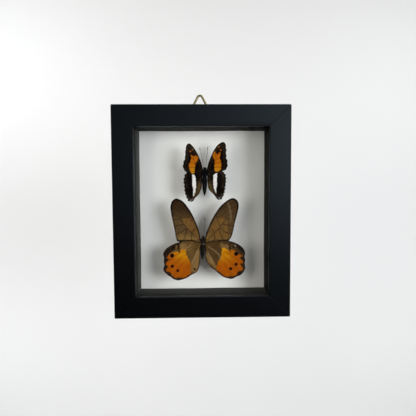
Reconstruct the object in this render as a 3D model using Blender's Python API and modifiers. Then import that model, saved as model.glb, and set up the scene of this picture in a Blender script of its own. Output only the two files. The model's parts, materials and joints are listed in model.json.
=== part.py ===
"""Two butterflies in a black box frame that hangs by a brass ring.

Metres, +Z up, the glass faces -Y and +X is to the viewer's right. The origin is the
point inside the ring's top corner where the ring bears on a nail or hook.
Run with: blender --background --python part.py
"""

import math

import bmesh
import bpy
from mathutils import Matrix, Vector

MM = 0.001
GAP = 0.3 * MM  # between pieces that touch

# Frame moulding
WIDTH = 127.0 * MM
HEIGHT = 152.4 * MM
DEPTH = 32.0 * MM
FACE = 15.25 * MM  # width of the front face of each rail
LIP = 5.0 * MM  # thickness of the front lip over the glass
RABBET = 4.5 * MM  # how far the lip covers the glass
EASED = 0.8 * MM  # rounding of the long edges
MITRE_BLOCK = 80.0 * MM  # side of the block that takes off a bar's end
APERTURE_X = WIDTH - 2 * FACE
APERTURE_Z = HEIGHT - 2 * FACE
CAVITY_X = APERTURE_X + 2 * RABBET
CAVITY_Z = APERTURE_Z + 2 * RABBET

# What fills the case, from the front backwards
GLASS = 2.0 * MM
CARD_DEPTH = 25.3 * MM  # front of the white card, behind the frame's front face
CARD = 2.5 * MM
PANEL = 2.5 * MM
TAB_LENGTH = 14.0 * MM
TAB_WIDTH = 6.0 * MM
TAB = 0.5 * MM
TAB_IN_WOOD = 6.0 * MM
TAB_HEIGHTS = (38.0 * MM, -38.0 * MM)

# Hanger: a triangular ring in a folded strap on the back of the top rail
SEAT_RISE = 12.9 * MM  # nail seat above the frame's top edge
HANGER_SHIFT = -1.0 * MM  # the hanger sits a little left of the frame's middle
RING_STANDOFF = 2.35 * MM  # ring's plane behind the frame's back
RING_WIRE = 0.95 * MM  # wire radius
RING_HALF_BASE = 10.4 * MM  # sharp corner of the wire's middle line
RING_PEAK_RADIUS = 2.1 * MM
RING_FOOT_RADIUS = 2.4 * MM
RING_SIDE_LEAN = math.radians(26.2)
PIVOT_DROP = 4.0 * MM  # ring's pivot below the frame's top edge
STRAP_WIDTH = 9.0 * MM
STRAP = 0.8 * MM
STRAP_LENGTH = 10.0 * MM
STRAP_CLOSED = 3.3 * MM  # below the pivot the strap's two layers lie together
STRAP_STEPS = 10  # flat pieces in the strap's turn round the ring
STRAP_LEAVES = math.radians(-50)  # where the turn round the ring ends
SCREW_DROP = 5.6 * MM  # screw below the pivot
SCREW_SHANK = 1.2 * MM
SCREW_HEAD = 2.5 * MM
SCREW_HEAD_HEIGHT = 1.5 * MM
SCREW_LENGTH = 9.0 * MM
SCREW_TAPER = 6.75 * MM  # the point starts here, below the head
SCREW_DOME = ((1.0, 0.0), (0.95, 0.45), (0.7, 0.8), (0.3, 1.0), (0.0, 1.0))  # shares of height and radius
HOLE_LENGTH = 20.0 * MM  # of the cutter for the strap's hole

# Specimens
FOREWING_DEPTH = 10.3 * MM
HINDWING_DEPTH = 11.0 * MM
BODY_DEPTH = 11.6 * MM
ANTENNA_DEPTH = 11.2 * MM
WING = 0.4 * MM
POST_RADIUS = 0.8 * MM
ANTENNA_RADIUS = 0.2 * MM
CLUB = 1.8  # how much thicker the antenna's tip is
CLUB_START = 0.7  # share of the antenna's length before its club
CURVE_STEPS = 4  # straight pieces between two outline points

# Places worked out from the sizes above
TOP_Z = -SEAT_RISE
CENTRE = Vector((-HANGER_SHIFT, -RING_STANDOFF - DEPTH, TOP_Z - HEIGHT / 2))
PIVOT_Z = TOP_Z - PIVOT_DROP
PANEL_DEPTH = CARD_DEPTH + CARD + GAP
TAB_DEPTH = PANEL_DEPTH + PANEL + GAP

# Finishes: colour, roughness, metallic
FINISHES = {
    "black_wood": ((0.012, 0.012, 0.015), 0.38, 0.0),
    "clear_glass": ((0.92, 0.96, 0.95), 0.03, 0.0),
    "black_card": ((0.02, 0.02, 0.02), 0.85, 0.0),
    "white_card": ((0.82, 0.82, 0.8), 0.9, 0.0),
    "hardboard": ((0.22, 0.12, 0.06), 0.8, 0.0),
    "steel": ((0.5, 0.5, 0.5), 0.4, 1.0),
    "brass": ((0.72, 0.58, 0.3), 0.3, 1.0),
    "white_plastic": ((0.8, 0.8, 0.8), 0.5, 0.0),
    "dark_wing": ((0.03, 0.018, 0.012), 0.7, 0.0),
    "brown_wing": ((0.14, 0.08, 0.035), 0.6, 0.0),
    "orange_wing": ((0.55, 0.2, 0.02), 0.6, 0.0),
    "body": ((0.02, 0.02, 0.02), 0.7, 0.0),
}

# Each butterfly is drawn from the middle of its thorax, in millimetres: x to the right, z to the head.
# Wings were spread by hand, so the left and right outlines differ a little.
UPPER = {
    "middle": (2.2, 28.5),
    "turn": -1.0,
    "body": [(4.1, 0.0), (3.9, 0.8), (3.2, 1.25), (2.5, 1.0), (1.7, 1.6), (0.3, 2.0), (-1.5, 1.8),
             (-3.0, 1.3), (-5.5, 1.65), (-9.0, 1.75), (-12.5, 1.4), (-15.5, 0.75), (-16.8, 0.0)],
    "forewing_left": [(-2.1, 0.4), (-2.1, 4.4), (-5.0, 13.5), (-9.7, 20.5), (-11.8, 21.5), (-13.6, 19.6),
                      (-14.3, 11.4), (-15.8, 6.9), (-15.8, 3.8), (-14.6, 1.3), (-12.6, 0.3), (-9.0, -1.0)],
    "forewing_right": [(2.1, 0.4), (2.1, 4.4), (4.6, 12.0), (9.7, 20.5), (13.5, 22.5), (15.4, 20.7),
                       (15.7, 11.9), (16.7, 6.8), (16.1, 3.3), (14.6, 1.6), (12.6, 0.8), (9.0, 0.1)],
    "hindwing_left": [(-2.4, 2.0), (-10.0, 2.0), (-13.2, 0.3), (-14.9, -1.6), (-15.6, -5.7), (-14.9, -13.4),
                      (-13.0, -18.9), (-12.0, -20.6), (-10.0, -21.1), (-8.3, -20.1), (-4.8, -16.0),
                      (-2.6, -11.5)],
    "hindwing_right": [(2.4, 2.0), (10.0, 2.4), (13.5, 0.8), (15.2, -1.4), (15.6, -5.0), (14.9, -12.3),
                       (13.4, -17.4), (12.0, -19.2), (10.3, -19.8), (8.6, -18.8), (4.5, -13.9), (2.6, -11.0)],
    "antennae": {
        "upper_antenna_left": [(-0.6, 4.6), (-1.5, 8.6), (-2.7, 14.0), (-3.6, 18.3)],
        "upper_antenna_right": [(0.5, 4.6), (1.2, 8.6), (1.8, 14.0), (2.3, 18.9)],
    },
    "finishes": {"forewing": "dark_wing", "hindwing": "dark_wing"},
}
LOWER = {
    "middle": (0.7, -22.5),
    "turn": 3.0,
    "body": [(4.6, 0.0), (4.4, 0.6), (3.8, 0.95), (3.2, 0.8), (2.5, 1.3), (0.8, 1.75), (-1.2, 1.75),
             (-2.8, 1.2), (-4.6, 1.4), (-7.5, 1.5), (-10.3, 1.15), (-12.4, 0.5), (-13.2, 0.0)],
    "forewing_left": [(-2.1, -0.4), (-2.1, 4.0), (-5.5, 15.2), (-10.7, 25.2), (-16.7, 31.5), (-19.9, 32.4),
                      (-22.4, 30.9), (-23.9, 25.7), (-23.3, 20.6), (-20.8, 7.9), (-20.0, 3.1), (-18.7, 0.7),
                      (-13.9, 0.6), (-9.1, 0.8)],
    "forewing_right": [(2.2, -0.2), (2.2, 5.0), (6.6, 16.9), (12.8, 26.4), (19.7, 31.8), (22.5, 32.4),
                       (25.0, 31.1), (26.3, 27.0), (25.1, 20.2), (22.5, 9.3), (21.0, 4.0), (18.8, 0.9),
                       (14.5, 0.6), (7.9, 0.2)],
    "hindwing_left": [(-2.5, 2.0), (-12.0, 2.4), (-18.3, 0.2), (-24.9, -2.9), (-29.2, -7.3), (-29.3, -14.1),
                      (-29.5, -20.6), (-27.3, -23.9), (-22.1, -27.7), (-19.0, -28.6), (-12.0, -26.7),
                      (-5.4, -22.8), (-3.9, -19.6), (-2.8, -11.7)],
    "hindwing_right": [(2.3, 2.0), (12.0, 2.4), (19.5, 0.7), (25.9, -1.8), (30.5, -6.1), (30.8, -13.8),
                       (31.2, -19.6), (28.0, -24.9), (21.4, -27.9), (14.8, -26.1), (9.1, -20.7), (3.5, -15.8),
                       (2.2, -11.7)],
    "antennae": {"lower_antenna": [(0.6, 5.2), (1.0, 9.0), (1.2, 13.5), (1.3, 17.8)]},
    "finishes": {"forewing": "brown_wing", "hindwing": "orange_wing"},
}


# ---------------------------------------------------------------- scene, finishes and placing

def clear_scene():
    for obj in list(bpy.data.objects):
        bpy.data.objects.remove(obj, do_unlink=True)


def new_collection(name):
    collection = bpy.data.collections.new(name)
    bpy.context.scene.collection.children.link(collection)
    return collection


def finish_for(name, finish):
    """A material of the piece's own, with the finish's colour, roughness and metallic value."""
    colour, roughness, metallic = FINISHES[finish]
    material = bpy.data.materials.new(name + "_finish")
    material.use_nodes = True
    shader = material.node_tree.nodes["Principled BSDF"]
    shader.inputs["Base Color"].default_value = (*colour, 1.0)
    shader.inputs["Roughness"].default_value = roughness
    shader.inputs["Metallic"].default_value = metallic
    if finish == "clear_glass":
        shader.inputs["Transmission Weight"].default_value = 1.0
        shader.inputs["IOR"].default_value = 1.5
    return material


def add_piece(name, data, finish, parent, location=(0, 0, 0), rotation=(0, 0, 0)):
    piece = bpy.data.objects.new(name, data)
    pieces.objects.link(piece)
    piece.parent = parent
    piece.location = location
    piece.rotation_euler = rotation
    data.materials.append(finish_for(name, finish))
    return piece


def add_cutter(name, data, parent, location=(0, 0, 0), rotation=(0, 0, 0)):
    cutter = bpy.data.objects.new(name, data)
    cutters.objects.link(cutter)
    cutter.parent = parent
    cutter.location = location
    cutter.rotation_euler = rotation
    cutter.hide_render = True
    cutter.display_type = "WIRE"
    return cutter


def cut(piece, cutter):
    modifier = piece.modifiers.new("cut_" + cutter.name, "BOOLEAN")
    modifier.operation = "DIFFERENCE"
    modifier.solver = "EXACT"
    modifier.object = cutter


def add_empty(name, location, parent=None):
    empty = bpy.data.objects.new(name, None)
    pieces.objects.link(empty)
    empty.parent = parent
    empty.location = location
    return empty


# ---------------------------------------------------------------- basic shapes

def block_mesh(name, size):
    mesh = bpy.data.meshes.new(name)
    bm = bmesh.new()
    bmesh.ops.create_cube(bm, size=1.0, matrix=Matrix.Diagonal((*size, 1.0)))
    bm.to_mesh(mesh)
    bm.free()
    return mesh


def rod_mesh(name, radius, length, sides=16):
    """A cylinder along Y, centred on its origin."""
    mesh = bpy.data.meshes.new(name)
    bm = bmesh.new()
    bmesh.ops.create_cone(bm, cap_ends=True, segments=sides, radius1=radius, radius2=radius, depth=length,
                          matrix=Matrix.Rotation(math.pi / 2, 4, "X"))
    bm.to_mesh(mesh)
    bm.free()
    return mesh


def bevel_edges(piece, width, segments=2):
    modifier = piece.modifiers.new("eased_edges", "BEVEL")
    modifier.width = width
    modifier.segments = segments
    modifier.limit_method = "ANGLE"


def smooth_line(points, steps, closed):
    """A Catmull-Rom line through the points, with `steps` straight pieces between two of them."""
    count = len(points)
    line = []
    for i in range(count if closed else count - 1):
        if closed:
            a, b, c, d = (Vector(points[(i + k) % count]) for k in (-1, 0, 1, 2))
        else:
            a, b, c, d = (Vector(points[min(max(i + k, 0), count - 1)]) for k in (-1, 0, 1, 2))
        for step in range(steps):
            t = step / steps
            line.append(0.5 * (2 * b + (c - a) * t + (2 * a - 5 * b + 4 * c - d) * t ** 2
                               + (3 * b - a - 3 * c + d) * t ** 3))
    if not closed:
        line.append(Vector(points[-1]))
    return line


def poly_curve(name, points, closed, dimensions="3D"):
    curve = bpy.data.curves.new(name, "CURVE")
    curve.dimensions = dimensions
    spline = curve.splines.new("POLY")
    spline.points.add(len(points) - 1)
    for target, point in zip(spline.points, points):
        target.co = (*point, 1.0)
    spline.use_cyclic_u = closed
    return curve


def plate_curve(name, outline, thickness):
    """A flat plate: a closed outline in the curve's own XY plane, thickened both ways."""
    curve = poly_curve(name, [(x, y, 0.0) for x, y in outline], closed=True, dimensions="2D")
    curve.fill_mode = "BOTH"
    curve.extrude = thickness / 2
    return curve


def turned_mesh(name, profile):
    """The open profile of a turned shape: (height, radius) pairs from top to bottom, on +X."""
    mesh = bpy.data.meshes.new(name)
    vertices = [(radius, 0.0, height) for height, radius in profile]
    mesh.from_pydata(vertices, [(i, i + 1) for i in range(len(vertices) - 1)], [])
    return mesh


def turn(piece, steps):
    modifier = piece.modifiers.new("turned", "SCREW")
    modifier.steps = steps
    modifier.render_steps = steps
    modifier.use_merge_vertices = True
    modifier.merge_threshold = 0.01 * MM
    modifier.use_smooth_shade = True


# ---------------------------------------------------------------- frame

def mitre_cutter(bar, side, length):
    """A block turned 45 degrees that takes off everything past the mitre at one end of a bar."""
    normal = Vector((side, 0.0, -1.0)).normalized()
    corner = Vector((side * length / 2, 0.0, FACE / 2))
    place = corner + normal * (MITRE_BLOCK - GAP) / 2
    name = f"{bar.name}_mitre_{'right' if side > 0 else 'left'}"
    block = block_mesh(name, (MITRE_BLOCK, MITRE_BLOCK, MITRE_BLOCK))
    return add_cutter(name, block, bar, place, (0, side * math.pi / 4, 0))


def frame_bar(name, length, reach, angle):
    """One rail or stile, made lying along X and turned about the frame's middle into its place."""
    turned = Matrix.Rotation(angle, 3, "Y")
    place = turned @ Vector((0.0, DEPTH / 2, reach - FACE / 2))
    bar = add_piece(name, block_mesh(name, (length, DEPTH, FACE)), "black_wood", frame, place, (0, angle, 0))
    bevel_edges(bar, EASED)
    rabbet = add_cutter(name + "_rabbet", block_mesh(name + "_rabbet", (2 * length, DEPTH, FACE)), bar,
                        (0, LIP, RABBET - FACE))
    cut(bar, rabbet)
    for side in (-1, 1):
        cut(bar, mitre_cutter(bar, side, length))
    return bar


def make_frame():
    return {
        "top": frame_bar("frame_rail_top", WIDTH, HEIGHT / 2, 0.0),
        "bottom": frame_bar("frame_rail_bottom", WIDTH, HEIGHT / 2, math.pi),
        "right": frame_bar("frame_stile_right", HEIGHT, WIDTH / 2, math.pi / 2),
        "left": frame_bar("frame_stile_left", HEIGHT, WIDTH / 2, -math.pi / 2),
    }


# ---------------------------------------------------------------- inside of the case

def make_layers():
    """Glass, card and back panel, each a sheet that fills the rabbet."""
    sheet_x = CAVITY_X - 2 * GAP
    sheet_z = CAVITY_Z - 2 * GAP
    sheets = (
        ("front_glass", GLASS, LIP + GAP, "clear_glass"),
        ("backing_card", CARD, CARD_DEPTH, "white_card"),
        ("back_panel", PANEL, PANEL_DEPTH, "hardboard"),
    )
    for name, thickness, front, finish in sheets:
        size = (sheet_x, thickness, sheet_z)
        add_piece(name, block_mesh(name, size), finish, frame, (0, front + thickness / 2, 0))


def make_spacers():
    """Black strips behind the lip: the upright ones stand between the level ones."""
    front = LIP + GLASS + 2 * GAP
    deep = CARD_DEPTH - GAP - front
    thick = RABBET - GAP
    middle = front + deep / 2
    for word, side in (("top", 1), ("bottom", -1)):
        name = "spacer_" + word
        size = (CAVITY_X - 2 * GAP, deep, thick)
        add_piece(name, block_mesh(name, size), "black_card", frame,
                  (0, middle, side * (APERTURE_Z + thick) / 2))
    for word, side in (("right", 1), ("left", -1)):
        name = "spacer_" + word
        size = (thick, deep, APERTURE_Z - 2 * GAP)
        add_piece(name, block_mesh(name, size), "black_card", frame,
                  (side * (APERTURE_X + thick) / 2, middle, 0))


def make_tabs(bars):
    """Flat points pushed into the stiles behind the back panel, each in a slot of its own."""
    half = TAB_WIDTH / 2
    shoulder = TAB_IN_WOOD - half
    outline = [(shoulder, half), (TAB_IN_WOOD, 0), (shoulder, -half),
               (TAB_IN_WOOD - TAB_LENGTH, -half), (TAB_IN_WOOD - TAB_LENGTH, half)]
    number = 0
    for word, side in (("left", -1), ("right", 1)):
        for height in TAB_HEIGHTS:
            number += 1
            name = f"retaining_tab_{number}"
            place = (side * CAVITY_X / 2, TAB_DEPTH + TAB / 2, height)
            tab = plate_curve(name, [(side * x, z) for x, z in outline], TAB)
            add_piece(name, tab, "steel", frame, place, (math.pi / 2, 0, 0))
            slot_size = (2 * (TAB_IN_WOOD + GAP), TAB + 2 * GAP, TAB_WIDTH + 2 * GAP)
            slot = add_cutter(name + "_slot", block_mesh(name + "_slot", slot_size), frame, place)
            cut(bars[word], slot)


# ---------------------------------------------------------------- hanger

def rounded_corner(corner, before, after, radius, steps):
    """Points of an arc of this radius that rounds the corner between two straight runs."""
    to_before = (before - corner).normalized()
    to_after = (after - corner).normalized()
    half = to_before.angle(to_after) / 2
    middle = corner + (to_before + to_after).normalized() * radius / math.sin(half)
    first = corner + to_before * radius / math.tan(half) - middle
    last = corner + to_after * radius / math.tan(half) - middle
    axis = first.cross(last).normalized()
    sweep = first.angle(last)
    return [middle + Matrix.Rotation(sweep * k / steps, 3, axis) @ first for k in range(steps + 1)]


def make_ring():
    """A closed wire triangle, apex up, that turns on its lower bar."""
    wire_peak = SEAT_RISE + PIVOT_DROP + RING_WIRE  # middle of the wire at the top, above the pivot
    sharp_peak = wire_peak + RING_PEAK_RADIUS * (1 / math.sin(RING_SIDE_LEAN) - 1)
    left = Vector((-RING_HALF_BASE, 0, 0))
    right = Vector((RING_HALF_BASE, 0, 0))
    peak = Vector((0, 0, sharp_peak))
    line = rounded_corner(left, right, peak, RING_FOOT_RADIUS, 6)
    line += rounded_corner(peak, left, right, RING_PEAK_RADIUS, 8)
    line += rounded_corner(right, peak, left, RING_FOOT_RADIUS, 6)
    curve = poly_curve("hanger_ring", line, closed=True)
    curve.bevel_depth = RING_WIRE
    curve.bevel_resolution = 3
    add_piece("hanger_ring", curve, "brass", pivot)


def make_strap():
    """A strap folded round the ring's lower bar, both layers lying on the top rail."""
    inner = RING_WIRE + GAP
    second = -inner + GAP
    path = [Vector((0, -inner, -STRAP_LENGTH))]
    for k in range(STRAP_STEPS + 1):
        angle = math.pi + (STRAP_LEAVES - math.pi) * k / STRAP_STEPS
        path.append(Vector((0, inner * math.cos(angle), inner * math.sin(angle))))
    path.append(Vector((0, second, -STRAP_CLOSED)))
    path.append(Vector((0, second, -STRAP_LENGTH)))
    mesh = bpy.data.meshes.new("hanger_strap")
    bm = bmesh.new()
    previous = None
    for point in path:
        row = [bm.verts.new(point + Vector((x, 0, 0))) for x in (-STRAP_WIDTH / 2, STRAP_WIDTH / 2)]
        if previous:
            bm.faces.new((previous[0], previous[1], row[1], row[0]))
        previous = row
    bm.to_mesh(mesh)
    bm.free()
    strap = add_piece("hanger_strap", mesh, "brass", pivot)
    sheet = strap.modifiers.new("sheet", "SOLIDIFY")
    sheet.thickness = STRAP
    sheet.offset = 1.0
    sheet.use_even_offset = True
    hole = rod_mesh("hanger_strap_hole", SCREW_SHANK + GAP, HOLE_LENGTH)
    cut(strap, add_cutter("hanger_strap_hole", hole, pivot, (0, 0, -SCREW_DROP)))


def make_screw(top_rail):
    seat = -RING_WIRE + STRAP + GAP  # back of the strap's second layer, plus the gap
    profile = [(SCREW_HEAD_HEIGHT * high, SCREW_HEAD * wide) for high, wide in SCREW_DOME]
    profile += [(0.0, SCREW_SHANK), (-SCREW_TAPER, SCREW_SHANK), (-SCREW_LENGTH, 0.0)]
    screw = add_piece("hanger_screw", turned_mesh("hanger_screw", profile), "brass", pivot,
                      (0, seat, -SCREW_DROP), (-math.pi / 2, 0, 0))
    turn(screw, 16)
    name = "frame_rail_top_screw_hole"
    hole = rod_mesh(name, SCREW_SHANK + GAP, 2 * (SCREW_LENGTH + GAP - seat))
    cut(top_rail, add_cutter(name, hole, pivot, (0, 0, -SCREW_DROP)))


# ---------------------------------------------------------------- butterflies

def make_wing(name, outline, depth, finish, middle):
    line = smooth_line([(x * MM, z * MM) for x, z in outline], CURVE_STEPS, closed=True)
    add_piece(name, plate_curve(name, line, WING), finish, middle, (0, depth, 0), (math.pi / 2, 0, 0))


def make_antenna(name, route, middle):
    """A thin stalk that thickens into a club over its last third."""
    line = smooth_line([(x * MM, 0.0, z * MM) for x, z in route], 3, closed=False)
    curve = poly_curve(name, line, closed=False)
    curve.bevel_depth = ANTENNA_RADIUS
    curve.bevel_resolution = 1
    curve.use_fill_caps = True
    for index, point in enumerate(curve.splines[0].points):
        along = index / (len(line) - 1)
        point.radius = 1.0 + (CLUB - 1.0) * max(0.0, (along - CLUB_START) / (1.0 - CLUB_START))
    add_piece(name, curve, "body", middle, (0, ANTENNA_DEPTH, 0))


def make_body(name, profile, angle, middle):
    line = smooth_line(profile, 2, closed=False)
    mesh = turned_mesh(name, [(height * MM, max(radius, 0.0) * MM) for height, radius in line])
    body = add_piece(name, mesh, "body", middle, (0, BODY_DEPTH, 0), (0, math.radians(angle), 0))
    turn(body, 14)


def make_post(name, thorax_radius, middle):
    front = BODY_DEPTH + thorax_radius + GAP
    length = CARD_DEPTH - GAP - front
    add_piece(name, rod_mesh(name, POST_RADIUS, length), "white_plastic", middle, (0, front + length / 2, 0))


def make_butterfly(word, plan):
    x, z = plan["middle"]
    middle = add_empty(word + "_thorax", (x * MM, 0, z * MM), frame)
    for side in ("left", "right"):
        for wing, depth in (("forewing", FOREWING_DEPTH), ("hindwing", HINDWING_DEPTH)):
            make_wing(f"{word}_{wing}_{side}", plan[f"{wing}_{side}"], depth, plan["finishes"][wing], middle)
    make_body(word + "_body", plan["body"], plan["turn"], middle)
    for name, route in plan["antennae"].items():
        make_antenna(name, route, middle)
    thorax_radius = max(radius for _, radius in plan["body"]) * MM
    make_post(word + "_post", thorax_radius, middle)


clear_scene()
pieces = new_collection("framed_butterflies")
cutters = new_collection("cutters")
frame = add_empty("frame_front_middle", CENTRE)
pivot = add_empty("hanger_pivot", (0, 0, PIVOT_Z))
frame_bars = make_frame()
make_layers()
make_spacers()
make_tabs(frame_bars)
make_ring()
make_strap()
make_screw(frame_bars["top"])
make_butterfly("upper", UPPER)
make_butterfly("lower", LOWER)
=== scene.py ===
"""Looks for two butterflies in a black box frame, laid out as a Blender add-on and run as a script.

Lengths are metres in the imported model's own frame. The plans of the wings and bodies are in
millimetres from the middle of each thorax: x to the right and z to the head.
"""

import json
import math
import random

import bpy
import numpy as np
from bpy.props import FloatProperty, FloatVectorProperty, IntProperty, PointerProperty
from mathutils import Matrix, Vector


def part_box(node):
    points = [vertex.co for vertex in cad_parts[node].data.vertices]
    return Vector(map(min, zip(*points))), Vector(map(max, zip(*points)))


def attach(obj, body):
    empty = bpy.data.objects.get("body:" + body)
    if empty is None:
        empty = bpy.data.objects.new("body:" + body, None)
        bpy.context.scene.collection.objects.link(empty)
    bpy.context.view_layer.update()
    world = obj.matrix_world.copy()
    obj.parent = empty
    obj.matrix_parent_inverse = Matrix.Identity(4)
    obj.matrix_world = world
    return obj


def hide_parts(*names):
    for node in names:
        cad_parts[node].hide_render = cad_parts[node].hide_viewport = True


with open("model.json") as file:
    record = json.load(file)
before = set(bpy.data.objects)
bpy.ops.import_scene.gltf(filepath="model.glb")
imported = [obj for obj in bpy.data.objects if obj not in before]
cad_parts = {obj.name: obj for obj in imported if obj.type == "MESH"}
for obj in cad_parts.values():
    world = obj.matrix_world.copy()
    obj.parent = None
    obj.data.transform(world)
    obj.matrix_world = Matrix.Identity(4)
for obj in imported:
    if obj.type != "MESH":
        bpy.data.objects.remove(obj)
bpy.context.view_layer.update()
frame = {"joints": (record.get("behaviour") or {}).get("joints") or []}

bl_info = {
    "name": "Framed butterflies",
    "version": (1, 0, 0),
    "blender": (4, 5, 0),
    "location": "3D View > Sidebar > Butterflies",
    "description": "Builds a pair of mounted butterflies in a black box frame with a brass hanger",
    "category": "Add Mesh",
}

MM = 0.001
GAP = 0.3 * MM  # between solids that touch
X, Y, Z = Vector((1, 0, 0)), Vector((0, 1, 0)), Vector((0, 0, 1))
BARS = {
    "frame_rail_top": (X, -Z),
    "frame_rail_bottom": (X, Z),
    "frame_stile_left": (Z, X),
    "frame_stile_right": (Z, -X),
}
CASE_LOW = Vector(map(min, zip(*(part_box(bar)[0] for bar in BARS))))
CASE_HIGH = Vector(map(max, zip(*(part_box(bar)[1] for bar in BARS))))
CASE_MIDDLE = (CASE_LOW + CASE_HIGH) / 2
PIVOT = Vector(frame["joints"][0]["pos_m"])
SHANK = 1.2 * MM  # radius of the screw under its head

# ---------------------------------------------------------------- plans of the specimens
# Wings were spread by hand, so the left and right outlines differ a little. A vein is drawn on the
# right wing, runs from the root outwards, stops at the margin, and is mirrored for the left wing.

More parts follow.
